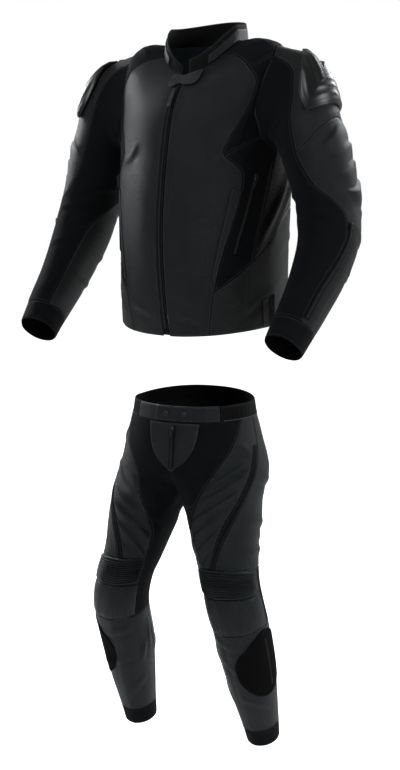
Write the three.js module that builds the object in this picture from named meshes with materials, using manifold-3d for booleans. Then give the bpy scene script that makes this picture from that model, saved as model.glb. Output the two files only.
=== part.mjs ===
// A two-piece motorcycle race suit, filled out as if it were worn: a leather and stretch-cloth jacket above its
// trousers. Millimetres. +Z is up, the wearer faces -Y and the wearer's left is +X. The origin is where the wearer's
// shoulders carry the jacket, midway between the two sides of the neck.
//
// Each garment is one sheet of points, with columns around the body and rows along it. The seams are columns and rows
// of that sheet, so a piece is a set of its cells, given a wall along the sheet's normals. What is sewn or moulded on a
// piece is a slab laid on the same points.
import * as THREE from "three";
import Module from "manifold-3d";

const wasm = await Module();
wasm.setup();

// Driving sizes
const SEAM_GAP = 0.3;
const WALL = 2.4;
const APPLIED = 1.6;
const LIFT = 0.6;
const ZIP_HALF_WIDTH = 9;
const COLLAR_HEIGHT = 43;
const WAISTBAND_HEIGHT = 33;
const JACKET_TURN = -4;
const TROUSERS_TURN = 4.5;
const TROUSERS_SIDE_STEP = -26;
const TROUSERS_DROP = -859;

const RAD = Math.PI / 180;
const vec = (x, y, z) => new THREE.Vector3(x, y, z);
const mix = (a, b, t) => a + (b - a) * t;
const ease = (t) => t * t * (3 - 2 * t);
const clamp = (t) => Math.min(1, Math.max(0, t));
const power = (x, p) => Math.sign(x) * Math.abs(x) ** p;

// A table is written as a line of column names and one line of numbers for each section.
function table(names, ...lines) {
  const keys = names.split(" ");
  return lines.map((line) =>
    Object.fromEntries(keys.map((key, n) => [key, line[n]])),
  );
}

// The value of a column at a place along a table: a smooth curve through its rows, by the table's first column.
function read(rows, key, at) {
  const by = Object.keys(rows[0])[0];
  const last = rows.length - 1;
  const rising = rows[last][by] > rows[0][by];
  let n = 0;
  while (n < last - 1 && (rising ? at > rows[n + 1][by] : at < rows[n + 1][by]))
    n++;
  const slope = (k) => {
    const a = rows[Math.max(0, k - 1)];
    const b = rows[Math.min(last, k + 1)];
    return (b[key] - a[key]) / (b[by] - a[by]);
  };
  const step = rows[n + 1][by] - rows[n][by];
  const t = clamp((at - rows[n][by]) / step);
  const t2 = t * t;
  const t3 = t2 * t;
  return (
    (2 * t3 - 3 * t2 + 1) * rows[n][key] +
    (t3 - 2 * t2 + t) * step * slope(n) +
    (3 * t2 - 2 * t3) * rows[n + 1][key] +
    (t3 - t2) * step * slope(n + 1)
  );
}

// A value between key columns, in straight steps: keys is a list of [column, value].
function between(keys, at) {
  let n = 0;
  while (n < keys.length - 2 && at > keys[n + 1][0]) n++;
  const [a, b] = [keys[n], keys[n + 1]];
  return mix(a[1], b[1], (at - a[0]) / (b[0] - a[0]));
}

// A sheet: its points come from place(column, row), and its normals from the neighbouring points.
function makeSheet({ columns, rows, wraps, rowsGoDown, firstRow, place }) {
  const count = wraps ? columns : columns + 1;
  const points = [];
  const has = (c, r) => r >= firstRow(c) && r <= rows;
  const grid = (c, r) => points[wraps ? (c + columns) % columns : c]?.[r];
  for (let c = 0; c < count; c++) {
    points.push([]);
    for (let r = 0; r <= rows; r++)
      points[c].push(has(c, r) ? place(c, r) : null);
  }
  const normals = points.map((line, c) =>
    line.map((p, r) => {
      if (!p) return null;
      const east = grid(c + 1, r) || p;
      const west = (wraps || c > 0 ? grid(c - 1, r) : null) || p;
      const north = grid(c, r + 1) || p;
      const south = (r > 0 ? grid(c, r - 1) : null) || p;
      const n = east.clone().sub(west).cross(north.clone().sub(south));
      if (rowsGoDown) n.negate();
      if (Math.abs(p.x) < 0.01) n.x = 0;
      return n.normalize();
    }),
  );
  const sample = (from, c, r) => {
    const c0 = Math.floor(c + 1e-9);
    const r0 = Math.min(rows, Math.floor(r + 1e-9));
    const get = (i, j) => {
      const line = from[wraps ? (i + columns) % columns : Math.min(columns, i)];
      return line[Math.min(rows, j)];
    };
    const [fc, fr] = [c - c0, r - r0];
    const near = get(c0, r0).clone().lerp(get(c0 + 1, r0) || get(c0, r0), fc);
    if (fr < 1e-9) return near;
    return near.lerp(get(c0, r0 + 1).clone().lerp(get(c0 + 1, r0 + 1), fc), fr);
  };
  return {
    columns,
    wraps,
    rowsGoDown,
    normals,
    points,
    point: (c, r) => sample(points, c, r),
    normal: (c, r) => sample(normals, c, r).normalize(),
  };
}

function geometryOf(points, faces) {
  const positions = new Float32Array(points.flatMap((p) => [p.x, p.y, p.z]));
  return new THREE.BufferGeometry()
    .setAttribute("position", new THREE.BufferAttribute(positions, 3))
    .setIndex(faces.flat());
}

// Every cell of a block of columns and rows.
function block(c0, c1, r0, r1) {
  const cells = [];
  for (let c = c0; c < c1; c++)
    for (let r = r0; r < r1; r++) cells.push([c, r]);
  return cells;
}

// A piece of a sheet: the cells, a wall inwards along the normals, and half a seam gap taken off all round. raise gives
// what stands out of the outer face, and split cuts each row for it.
function panel(sheet, cells, { thick, raise = () => 0, split = () => 1 }) {
  const ids = new Map();
  const base = [];
  const normal = [];
  const height = [];
  const at = (c, r) => {
    const column = sheet.wraps ? (c + sheet.columns) % sheet.columns : c;
    const key = column + "," + r.toFixed(4);
    if (!ids.has(key)) {
      ids.set(key, base.length);
      base.push(sheet.point(column, r));
      normal.push(sheet.normal(column, r));
      height.push(raise(column, r));
    }
    return ids.get(key);
  };
  const quads = cells.flatMap(([c, r]) =>
    Array.from({ length: split(r) }, (_, n) => {
      const [low, high] = [r + n / split(r), r + (n + 1) / split(r)];
      const loop = [at(c, low), at(c + 1, low), at(c + 1, high), at(c, high)];
      return sheet.rowsGoDown ? loop.reverse() : loop;
    }),
  );
  const edges = new Map();
  for (const q of quads)
    for (let n = 0; n < 4; n++) edges.set(q[n] + ">" + q[(n + 1) % 4], q);
  const rim = [...edges.keys()]
    .map((key) => key.split(">").map(Number))
    .filter(([a, b]) => !edges.has(b + ">" + a));
  const inwards = base.map(() => []);
  for (const [a, b] of rim) {
    const along = base[b].clone().sub(base[a]).normalize();
    for (const v of [a, b])
      inwards[v].push(normal[v].clone().cross(along).normalize());
  }
  const seated = base.map((p, v) => {
    if (inwards[v].length < 2) return p;
    const [m, n] = inwards[v];
    const spread = Math.max(0.35, 1 + m.dot(n));
    return p.clone().addScaledVector(m.clone().add(n), SEAM_GAP / 2 / spread);
  });
  const count = base.length;
  const outer = seated.map((p, v) =>
    p.clone().addScaledVector(normal[v], height[v]),
  );
  const inner = seated.map((p, v) =>
    p.clone().addScaledVector(normal[v], -thick),
  );
  const faces = quads.flatMap(([a, b, c, d]) => [
    [a, b, c],
    [a, c, d],
    [a + count, c + count, b + count],
    [a + count, d + count, c + count],
  ]);
  for (const [a, b] of rim) {
    const [ia, ib] = [a + count, b + count];
    if (base[a].z < base[b].z) faces.push([b, a, ib], [a, ia, ib]);
    else faces.push([b, a, ia], [b, ia, ib]);
  }
  return geometryOf([...outer, ...inner], faces);
}

// A solid between two heights over a grid of places: place(s, t) gives a point and its normal, with s and t from 0 to 1.
function slab({ across, along, place, low, high, ring = false }) {
  const wide = ring ? across : across + 1;
  const points = [];
  for (const height of [high, low])
    for (let j = 0; j <= along; j++)
      for (let i = 0; i < wide; i++) {
        const [s, t] = [i / across, j / along];
        const { point, normal } = place(s, t);
        points.push(point.clone().addScaledVector(normal, height(s, t)));
      }
  const half = wide * (along + 1);
  const id = (i, j) => j * wide + (ring ? i % wide : i);
  const faces = [];
  const quad = (a, b, c, d) => faces.push([a, b, c], [a, c, d]);
  for (let j = 0; j < along; j++)
    for (let i = 0; i < across; i++) {
      const [a, b] = [id(i, j), id(i + 1, j)];
      const [c, d] = [id(i + 1, j + 1), id(i, j + 1)];
      quad(a, b, c, d);
      quad(a + half, d + half, c + half, b + half);
    }
  for (let i = 0; i < across; i++) {
    const [a, b] = [id(i, 0), id(i + 1, 0)];
    quad(b, a, a + half, b + half);
    const [c, d] = [id(i, along), id(i + 1, along)];
    quad(c, d, d + half, c + half);
  }
  if (!ring)
    for (let j = 0; j < along; j++) {
      const [a, d] = [id(0, j), id(0, j + 1)];
      quad(a, d, d + half, a + half);
      const [b, c] = [id(across, j), id(across, j + 1)];
      quad(c, b, b + half, c + half);
    }
  return facingOut(geometryOf(points, faces));
}

// The same geometry, turned so that its faces point out.
function facingOut(geometry) {
  const p = geometry.getAttribute("position");
  const index = geometry.index.array;
  const corner = (n) => new THREE.Vector3().fromBufferAttribute(p, index[n]);
  let volume = 0;
  for (let n = 0; n < index.length; n += 3)
    volume += corner(n).dot(corner(n + 1).cross(corner(n + 2)));
  if (volume < 0)
    for (let n = 0; n < index.length; n += 3)
      [index[n + 1], index[n + 2]] = [index[n + 2], index[n + 1]];
  return geometry;
}

function mirrored(geometry) {
  const copy = geometry.clone();
  copy.applyMatrix4(new THREE.Matrix4().makeScale(-1, 1, 1));
  return facingOut(copy);
}

// A square of places drawn in to a round-cornered shape, for discs, shields and ovals.
function rounded(s, t) {
  const [x, y] = [2 * s - 1, 2 * t - 1];
  return [x * Math.sqrt(1 - (y * y) / 2), y * Math.sqrt(1 - (x * x) / 2)];
}

// Places on a narrow band that follows a path of [column, row] pairs over a sheet.
function bandPlace(sheet, path, halfWidth) {
  const at = (t) => {
    const x = t * (path.length - 1);
    const n = Math.min(path.length - 2, Math.floor(x));
    return [0, 1].map((k) => mix(path[n][k], path[n + 1][k], x - n));
  };
  const point = (t) => sheet.point(...at(clamp(t)));
  return (s, t) => {
    const normal = sheet.normal(...at(t));
    const along = point(t + 0.02).sub(point(t - 0.02)).normalize();
    const side = along.cross(normal).normalize();
    const offset = (2 * s - 1) * halfWidth(t);
    return { point: point(t).addScaledVector(side, offset), normal };
  };
}

const suit = new THREE.Group();
const jacket = new THREE.Group();
const trousers = new THREE.Group();
suit.add(jacket, trousers);
jacket.rotation.z = JACKET_TURN * RAD;
trousers.rotation.z = TROUSERS_TURN * RAD;
trousers.position.set(TROUSERS_SIDE_STEP, 0, TROUSERS_DROP);

const finish = (color, roughness, metalness = 0) =>
  new THREE.MeshStandardMaterial({ color, roughness, metalness });
const LEATHER_FINISH = finish(0x2a2b2d, 0.5);
const STRETCH_FINISH = finish(0x141517, 0.85);
const HARD_FINISH = finish(0x17181a, 0.35);
const METAL_FINISH = finish(0x4a4b4d, 0.35, 0.9);

function add(group, name, geometry, material) {
  const mesh = new THREE.Mesh(geometry, material);
  mesh.name = name;
  group.add(mesh);
}

function addPair(group, name, geometry, material) {
  add(group, name + "_l", geometry, material);
  add(group, name + "_r", mirrored(geometry), material);
}

// Jacket body: rings from the hem (level 0) to the neck (level 1), lower in front than at the back near the top.
const BODY = table(
  "level half front back zFront zSide zBack square",
  [0.0, 203, 147, 156, -668, -643, -648, 2.15],
  [0.12, 200, 163, 163, -578, -566, -570, 2.15],
  [0.26, 199, 173, 174, -470, -462, -466, 2.1],
  [0.4, 202, 170, 182, -372, -360, -362, 2.1],
  [0.55, 203, 156, 178, -268, -255, -256, 2.15],
  [0.7, 203, 138, 168, -184, -164, -152, 2.2],
  [0.8, 203, 118, 154, -138, -90, -76, 2.2],
  [0.88, 193, 98, 138, -112, -31, -24, 2.15],
  [0.94, 150, 83, 124, -98, -10, -10, 2.1],
  [1.0, 95, 72, 112, -86, -16, -6, 2.0],
);

// The seam down each side of the leather front, as an angle from the centre front.
const FRONT_SEAM = table(
  "level angle",
  [0.0, 29],
  [0.135, 36],
  [0.3, 47.5],
  [0.42, 54.5],
  [0.485, 55],
  [0.545, 41],
  [0.585, 42],
  [0.66, 50],
  [0.715, 56],
  [0.76, 62],
  [0.79, 62],
  [0.845, 55],
  [0.9, 52],
  [1.0, 57],
);

const FRONT = 5; // columns where the seams run on the wearer's left half
const ARMHOLE_FRONT = 8;
const SIDE = 10;
const ARMHOLE_BACK = 12;
const CENTRE_BACK = 17;
const WAIST_SEAM = 4; // rows where the seams run
const ARMPIT = 10;
const SHOULDER = 15;
const NECK = 19;

// Seam angles by row, and the level that each row reaches at each seam.
const SEAM_ANGLES = table(
  "row armholeFront side armholeBack",
  [0, 48, 62, 106],
  [4, 53, 66, 110],
  [7, 62, 75, 112],
  [10, 69, 86, 111],
  [12, 63, 90, 119],
  [14, 70, 91, 113],
  [15, 81, 91, 103],
  [19, 82, 91, 101],
);
const ROW_LEVELS = table(
  "row centre front armholeFront side armholeBack back",
  [0, 0, 0, 0, 0, 0, 0],
  [4, 0.125, 0.135, 0.175, 0.215, 0.365, 0.39],
  [9, 0.47, 0.485, 0.51, 0.5, 0.51, 0.51],
  [10, 0.54, 0.545, 0.6, 0.56, 0.585, 0.57],
  [13, 0.72, 0.72, 0.745, 0.745, 0.745, 0.73],
  [15, 0.84, 0.86, 0.86, 0.885, 0.885, 0.86],
  [19, 1, 1, 1, 1, 1, 1],
);

function bodyPoint(angle, level) {
  const at = (key) => read(BODY, key, level);
  const [s, c] = [Math.sin(angle * RAD), Math.cos(angle * RAD)];
  const root = 2 / at("square");
  const end = c > 0 ? "Front" : "Back";
  const depth = at(end.toLowerCase());
  const lean = Math.abs(c) ** 1.5;
  return vec(
    at("half") * power(s, root),
    -depth * power(c, root),
    mix(at("zSide"), at("z" + end), lean),
  );
}

function bodyPlace(column, row) {
  const left = column <= CENTRE_BACK;
  const c = left ? column : 2 * CENTRE_BACK - column;
  const level = between(
    [
      [0, read(ROW_LEVELS, "centre", row)],
      [FRONT, read(ROW_LEVELS, "front", row)],
      [ARMHOLE_FRONT, read(ROW_LEVELS, "armholeFront", row)],
      [SIDE, read(ROW_LEVELS, "side", row)],
      [ARMHOLE_BACK, read(ROW_LEVELS, "armholeBack", row)],
      [CENTRE_BACK, read(ROW_LEVELS, "back", row)],
    ],
    c,
  );
  const half = read(BODY, "half", level);
  const zipAngle =
    Math.asin((ZIP_HALF_WIDTH / half) ** (read(BODY, "square", level) / 2)) /
    RAD;
  const angle = between(
    [
      [0, zipAngle],
      [FRONT, read(FRONT_SEAM, "angle", level)],
      [ARMHOLE_FRONT, read(SEAM_ANGLES, "armholeFront", row)],
      [SIDE, read(SEAM_ANGLES, "side", row)],
      [ARMHOLE_BACK, read(SEAM_ANGLES, "armholeBack", row)],
      [CENTRE_BACK, 180],
    ],
    c,
  );
  return bodyPoint(left ? angle : 360 - angle, level);
}

const body = makeSheet({
  columns: 2 * CENTRE_BACK,
  rows: NECK,
  wraps: false,
  rowsGoDown: false,
  firstRow: () => 0,
  place: bodyPlace,
});

// Sleeve: it starts on the armhole's own points, rounds the shoulder, and follows the arm through rings square to it.
const ARM = table(
  "along x y z wide deep",
  [0.34, 292, 0, -250, 74, 80],
  [0.48, 315, 0, -318, 71, 77],
  [0.62, 334, -6, -388, 69, 74],
  [0.75, 346, -32, -466, 65, 69],
  [0.88, 345, -102, -563, 54, 57],
  [0.95, 342, -155, -622, 48, 50],
  [1.0, 338, -196, -668, 44, 46],
);
const SLEEVE_SEAMS = table(
  "along front back",
  [0.0, 62, -120],
  [0.12, 75, -114],
  [0.24, 88, -112],
  [0.36, 92, -114],
  [0.48, 84, -130],
  [0.57, 65, -172],
  [0.66, 30, -207],
  [0.76, 25, -221],
  [0.88, 39, -227],
  [1.0, 40, -230],
);
const SLEEVE_BACK = 9; // columns and rows of the sleeve's seams
const SLEEVE_COLUMNS = 18;
const UPPER_END = 4;
const PLEATS_END = 9;
const CUFF_START = 13;
const CUFF_END = 14;
const CAP_END = 0.34;

// The armhole's points in the order of the sleeve's columns: over the top, down the back, under, and up the front.
const ARMHOLE = [
  ...[8, 9, 10, 11].map((c) => [c, SHOULDER]),
  ...[15, 14, 13, 12, 11].map((r) => [ARMHOLE_BACK, r]),
  ...[12, 11, 10, 9].map((c) => [c, ARMPIT]),
  ...[10, 11, 12, 13, 14].map((r) => [ARMHOLE_FRONT, r]),
];

function armAt(along) {
  const at = (w) => vec(...["x", "y", "z"].map((k) => read(ARM, k, w)));
  const centre = at(along);
  const down = at(Math.min(1, along + 0.03))
    .sub(at(Math.max(CAP_END, along - 0.03)))
    .normalize();
  const out = vec(1, 0, 0).addScaledVector(down, -down.x).normalize();
  const fore = down.clone().cross(out);
  return { centre, down, out, fore };
}

function sleeveAngle(column, along) {
  const front = read(SLEEVE_SEAMS, "front", along);
  const back = read(SLEEVE_SEAMS, "back", along);
  return between(
    [
      [0, front],
      [SLEEVE_BACK, back],
      [SLEEVE_COLUMNS, front - 360],
    ],
    column,
  );
}

function armRing(column, along) {
  const { centre, out, fore } = armAt(along);
  const angle = sleeveAngle(column, along) * RAD;
  return centre
    .clone()
    .addScaledVector(out, read(ARM, "wide", along) * Math.cos(angle))
    .addScaledVector(fore, read(ARM, "deep", along) * Math.sin(angle));
}

// How far along the arm a row lies: the seam above the elbow pleats climbs towards the outside of the arm.
function sleeveAlong(column, row) {
  const outside = Math.max(0, Math.cos(((column - 4.5) / 9) * Math.PI));
  const seam = mix(0.36, 0.3, outside);
  return between(
    [
      [0, 0],
      [UPPER_END, seam],
      [PLEATS_END, 0.66],
      [CUFF_START, 0.96],
      [CUFF_END, 1],
    ],
    row,
  );
}

function sleevePlace(column, row) {
  const along = sleeveAlong(column, row);
  if (along >= CAP_END) return armRing(column, along);
  const start = body.points[ARMHOLE[column][0]][ARMHOLE[column][1]].clone();
  const end = armRing(column, CAP_END);
  const reach = end.distanceTo(start);
  const top = (1 + Math.cos(((column - 2) / 9) * Math.PI)) / 2;
  const leave = vec(mix(0.45, 0.98, top), 0, mix(-0.9, -0.18, top));
  const pull = reach * mix(1.15, 1.45, top);
  const arrive = armAt(CAP_END).down;
  const t = along / CAP_END;
  const [t2, t3] = [t * t, t * t * t];
  return start
    .multiplyScalar(2 * t3 - 3 * t2 + 1)
    .addScaledVector(leave, (t3 - 2 * t2 + t) * pull)
    .addScaledVector(end, 3 * t2 - 2 * t3)
    .addScaledVector(arrive, (t3 - t2) * pull);
}

const sleeve = makeSheet({
  columns: SLEEVE_COLUMNS,
  rows: CUFF_END,
  wraps: true,
  rowsGoDown: true,
  firstRow: () => 0,
  place: sleevePlace,
});

// Body and sleeve share the normals round the armhole, on both sides, so that their walls meet edge to edge.
ARMHOLE.forEach(([c, r], k) => {
  const shared = body.normals[c][r].clone().add(sleeve.normals[k][0]);
  shared.normalize();
  sleeve.normals[k][0].copy(shared);
  body.normals[c][r].copy(shared);
  body.normals[2 * CENTRE_BACK - c][r].set(-shared.x, shared.y, shared.z);
});

// Jacket body pieces
addPair(jacket, "front", panel(body, block(0, FRONT, 0, NECK), { thick: WALL }), LEATHER_FINISH);
addPair(
  jacket,
  "waist_panel",
  panel(body, block(FRONT, CENTRE_BACK, 0, WAIST_SEAM), { thick: WALL }),
  LEATHER_FINISH,
);
addPair(
  jacket,
  "side_stretch",
  panel(body, block(FRONT, SIDE, WAIST_SEAM, ARMPIT), { thick: WALL }),
  STRETCH_FINISH,
);
addPair(
  jacket,
  "chest_stretch",
  panel(body, block(FRONT, ARMHOLE_FRONT, ARMPIT, SHOULDER), { thick: WALL }),
  STRETCH_FINISH,
);
addPair(
  jacket,
  "yoke",
  panel(body, block(FRONT, ARMHOLE_BACK, SHOULDER, NECK), { thick: WALL }),
  STRETCH_FINISH,
);
add(
  jacket,
  "back",
  panel(
    body,
    [
      ...block(SIDE, 2 * CENTRE_BACK - SIDE, WAIST_SEAM, ARMPIT),
      ...block(ARMHOLE_BACK, 2 * CENTRE_BACK - ARMHOLE_BACK, ARMPIT, NECK),
    ],
    { thick: WALL },
  ),
  LEATHER_FINISH,
);

// Sleeve pieces
addPair(
  jacket,
  "sleeve_upper",
  panel(sleeve, block(0, SLEEVE_BACK, 0, UPPER_END), { thick: WALL }),
  LEATHER_FINISH,
);

// Five pleats across the outside of the elbow, one for each row, that fade out towards the front seam.
const PLEAT_HEIGHT = 5.5;
function elbowPleat(column, row) {
  if (row <= UPPER_END || row >= PLEATS_END) return 0;
  const across = clamp((column - 0.5) / 2.5) * clamp((SLEEVE_BACK - column) / 2);
  const wave = 0.5 - 0.5 * Math.cos(2 * Math.PI * (row - UPPER_END));
  return PLEAT_HEIGHT * ease(across) * wave;
}
const PLEAT_STEPS = (row) => (row < PLEATS_END ? 4 : 1);
const lowerCells = block(0, SLEEVE_BACK, UPPER_END, CUFF_START);
addPair(
  jacket,
  "sleeve_lower",
  panel(sleeve, lowerCells, { thick: WALL, raise: elbowPleat, split: PLEAT_STEPS }),
  LEATHER_FINISH,
);
addPair(
  jacket,
  "sleeve_inner",
  panel(sleeve, block(SLEEVE_BACK, SLEEVE_COLUMNS, 0, CUFF_START), { thick: WALL }),
  STRETCH_FINISH,
);
addPair(
  jacket,
  "cuff",
  panel(sleeve, block(0, SLEEVE_COLUMNS, CUFF_START, CUFF_END), { thick: WALL }),
  STRETCH_FINISH,
);

// Collar: a stand that follows the neck seam and leans in a little. It is open at the front, where both ends dip
// and the wearer's right one falls almost to the seam.
const COLLAR_LEAN = 4;
const COLLAR_OPENING = 5;
const COLLAR_DIP = { left: 11, right: 29, reach: 60 };
function collarPlace(angle, rise) {
  const base = bodyPoint(angle, 1);
  const out = vec(base.x, base.y, 0).normalize();
  const back = (1 - Math.cos(angle * RAD)) / 2;
  const side = Math.sin(angle * RAD) ** 2;
  const ahead = clamp(1 - Math.min(angle, 360 - angle) / COLLAR_DIP.reach);
  const dip = (angle < 180 ? COLLAR_DIP.left : COLLAR_DIP.right) * ahead ** 1.5;
  const height = mix(COLLAR_HEIGHT - 2, COLLAR_HEIGHT + 4, back) - 6 * side - dip;
  const lift = SEAM_GAP + rise * height;
  const point = base.clone().addScaledVector(out, -COLLAR_LEAN * rise);
  point.z += lift;
  return { point, normal: out };
}
const collarAngle = (s) => mix(COLLAR_OPENING, 360 - COLLAR_OPENING, s);
add(
  jacket,
  "collar",
  slab({
    across: 30,
    along: 2,
    place: (s, t) => collarPlace(collarAngle(s), t),
    low: () => -3,
    high: (s, t) => 0.4 - 0.8 * t,
  }),
  STRETCH_FINISH,
);
const COLLAR_PATCH = [34, 118];
addPair(
  jacket,
  "collar_patch",
  slab({
    across: 7,
    along: 2,
    place: (s, t) => {
      const angle = mix(COLLAR_PATCH[0], COLLAR_PATCH[1], s);
      const slant = 0.18 * (1 - s);
      return collarPlace(angle, mix(0.1, 0.78 - slant, t));
    },
    low: () => LIFT + 0.5,
    high: () => LIFT + 0.5 + APPLIED,
  }),
  LEATHER_FINISH,
);

// The tab that closes the collar, across the top of the zip, with its loose end rounded.
const TAB_REACH = [-27, 50]; // from side to side, across the zip
const TAB_LEVELS = [0.87, 0.992];
add(
  jacket,
  "collar_tab",
  slab({
    across: 8,
    along: 3,
    place: (s, t) => {
      const end = Math.sqrt(1 - 0.8 * clamp(2 * s - 1) ** 6);
      const level = mix(...TAB_LEVELS, 0.5 + (t - 0.5) * end);
      const x = mix(...TAB_REACH, s);
      const share = Math.abs(x) / read(BODY, "half", level);
      const angle = Math.asin(share ** (read(BODY, "square", level) / 2)) / RAD;
      const point = bodyPoint(Math.sign(x) * angle, level);
      return { point, normal: vec(point.x * 0.6, -90, 75).normalize() };
    },
    low: () => 2.2,
    high: () => 4.2,
  }),
  LEATHER_FINISH,
);

// Centre zip: its tape fills the gap between the fronts, with the closed teeth raised down the middle.
const ZIP_STEPS = 18;
function zipPlace(s, t) {
  const level = mix(0.004, 0.962, t);
  const point = bodyPoint(0, level);
  const ahead = bodyPoint(0, level + 0.01).sub(bodyPoint(0, level - 0.01));
  const normal = vec(1, 0, 0).cross(ahead).normalize();
  point.x = (2 * s - 1) * (ZIP_HALF_WIDTH - SEAM_GAP - 0.2);
  return { point, normal };
}
const teeth = (s) => (Math.abs(s - 0.5) < 0.1 ? 1.2 : 0);
const frontZipTape = slab({
  across: 4,
  along: ZIP_STEPS,
  place: zipPlace,
  low: () => -1.6,
  high: teeth,
});

// A zip slider and the pull that hangs from it. The slider has two cheeks, and the pull's round bar turns between them.
const SLIDER_LENGTH = 12;
const SLIDER_HEIGHT = 3.6;
const CHEEK_GAP = 5.4;
const CHEEK_WIDTH = 1.8;
const CHEEK_RISE = 4;
const BAR_RADIUS = 1.2;
const BAR_HEIGHT = 5.2;
const PULL_CLEARANCE = 0.3;
const PULL_THICKNESS = 1.6;

function frameAt(origin, along, normal) {
  const down = along.clone().normalize();
  const side = down.clone().cross(normal).normalize();
  const out = side.clone().cross(down).normalize();
  return new THREE.Matrix4().makeBasis(side, down, out).setPosition(origin);
}

function solidOf(geometry) {
  const positions = geometry.getAttribute("position");
  const index = geometry.index?.array ?? [...Array(positions.count).keys()];
  const mesh = new wasm.Mesh({
    numProp: 3,
    vertProperties: positions.array,
    triVerts: new Uint32Array(index),
  });
  mesh.merge();
  return new wasm.Manifold(mesh);
}

function boxAt(size, centre, matrix) {
  const box = new THREE.BoxGeometry(...size).translate(...centre);
  box.applyMatrix4(matrix);
  return solidOf(box);
}

function geometryFrom(solid) {
  const made = solid.getMesh();
  const positions = new Float32Array(made.vertProperties);
  return new THREE.BufferGeometry()
    .setAttribute("position", new THREE.BufferAttribute(positions, 3))
    .setIndex(Array.from(made.triVerts));
}

function withSlider(tape, matrix) {
  const cheek = (CHEEK_GAP + CHEEK_WIDTH) / 2;
  const slider = [CHEEK_GAP + 2 * CHEEK_WIDTH, SLIDER_LENGTH, SLIDER_HEIGHT];
  const side = [CHEEK_WIDTH, SLIDER_LENGTH / 2, CHEEK_RISE];
  return geometryFrom(
    solidOf(tape)
      .add(boxAt(slider, [0, 0, 1.6], matrix))
      .add(boxAt(side, [cheek, 0, BAR_HEIGHT - 0.2], matrix))
      .add(boxAt(side, [-cheek, 0, BAR_HEIGHT - 0.2], matrix)),
  );
}

// The pull: a tapering tab on a round bar. It hangs along the zip, just clear of it.
function pull(matrix, length, width) {
  const barLength = CHEEK_GAP - 2 * PULL_CLEARANCE;
  const half = [
    [barLength / 2, 0],
    [barLength / 2, 5],
    [width / 2, 8],
    [width / 2 - 0.8, length],
  ];
  const otherHalf = half.map(([x, y]) => [-x, y]).reverse();
  const outline = new THREE.Shape(
    [...half, ...otherHalf].map(([x, y]) => new THREE.Vector2(x, y)),
  );
  const plate = new THREE.ExtrudeGeometry(outline, {
    depth: PULL_THICKNESS,
    bevelEnabled: false,
  });
  plate.translate(0, 0, BAR_HEIGHT - PULL_THICKNESS / 2).applyMatrix4(matrix);
  const bar = new THREE.CylinderGeometry(BAR_RADIUS, BAR_RADIUS, barLength, 10);
  bar.rotateZ(Math.PI / 2).translate(0, 0, BAR_HEIGHT).applyMatrix4(matrix);
  return geometryFrom(solidOf(plate).add(solidOf(bar)));
}

const frontSliderAt = 0.872;
const frontSlider = zipPlace(0.5, frontSliderAt);
const frontSliderFrame = frameAt(
  frontSlider.point,
  zipPlace(0.5, frontSliderAt - 0.06).point.sub(frontSlider.point),
  frontSlider.normal,
);
add(jacket, "front_zip", withSlider(frontZipTape, frontSliderFrame), HARD_FINISH);
add(jacket, "front_pull", pull(frontSliderFrame, 46, 8), METAL_FINISH);

// Pocket zips on the side stretch pieces, each with its own slider and pull.
const POCKET_PATH = [
  [8.0, 8.6],
  [7.7, 7.8],
  [7.4, 7.0],
  [7.1, 6.15],
  [6.8, 5.3],
];
const pocketPlace = bandPlace(body, POCKET_PATH, () => 5);
const pocketTape = slab({
  across: 4,
  along: 8,
  place: pocketPlace,
  low: () => LIFT,
  high: (s) => LIFT + 1 + (Math.abs(s - 0.5) < 0.3 ? 1 : 0),
});
const pocketSlider = pocketPlace(0.5, 0.05);
pocketSlider.point.addScaledVector(pocketSlider.normal, LIFT + 1);
const pocketFrame = frameAt(
  pocketSlider.point,
  pocketPlace(0.5, 0.2).point.sub(pocketPlace(0.5, 0.05).point),
  pocketSlider.normal,
);
const pocketPull = pull(pocketFrame, 24, 6);
addPair(jacket, "pocket_zip", withSlider(pocketTape, pocketFrame), HARD_FINISH);
addPair(jacket, "pocket_pull", pocketPull, METAL_FINISH);

// Pocket welts: a leather strip along the front seam, widest at its top.
const WELT_PATH = [
  [4.62, 8.3],
  [4.64, 7.3],
  [4.66, 6.3],
  [4.7, 5.3],
  [4.76, 4.5],
];
addPair(
  jacket,
  "pocket_welt",
  slab({
    across: 3,
    along: 7,
    place: bandPlace(body, WELT_PATH, (t) => mix(12, 4.5, t)),
    low: () => LIFT,
    high: () => LIFT + APPLIED,
  }),
  LEATHER_FINISH,
);

// Hem straps: a short upright strap over the waist panel at each side.
const HEM_STRAP = { rows: [0.12, 1.45], columns: [10.52, 11.1] };
addPair(
  jacket,
  "hem_strap",
  slab({
    across: 4,
    along: 8,
    place: (s, t) => {
      const row = mix(...HEM_STRAP.rows, s);
      const column = mix(...HEM_STRAP.columns, t);
      return { point: body.point(column, row), normal: body.normal(column, row) };
    },
    low: () => LIFT + 0.2,
    high: () => LIFT + 0.2 + APPLIED,
  }),
  LEATHER_FINISH,
);

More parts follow.
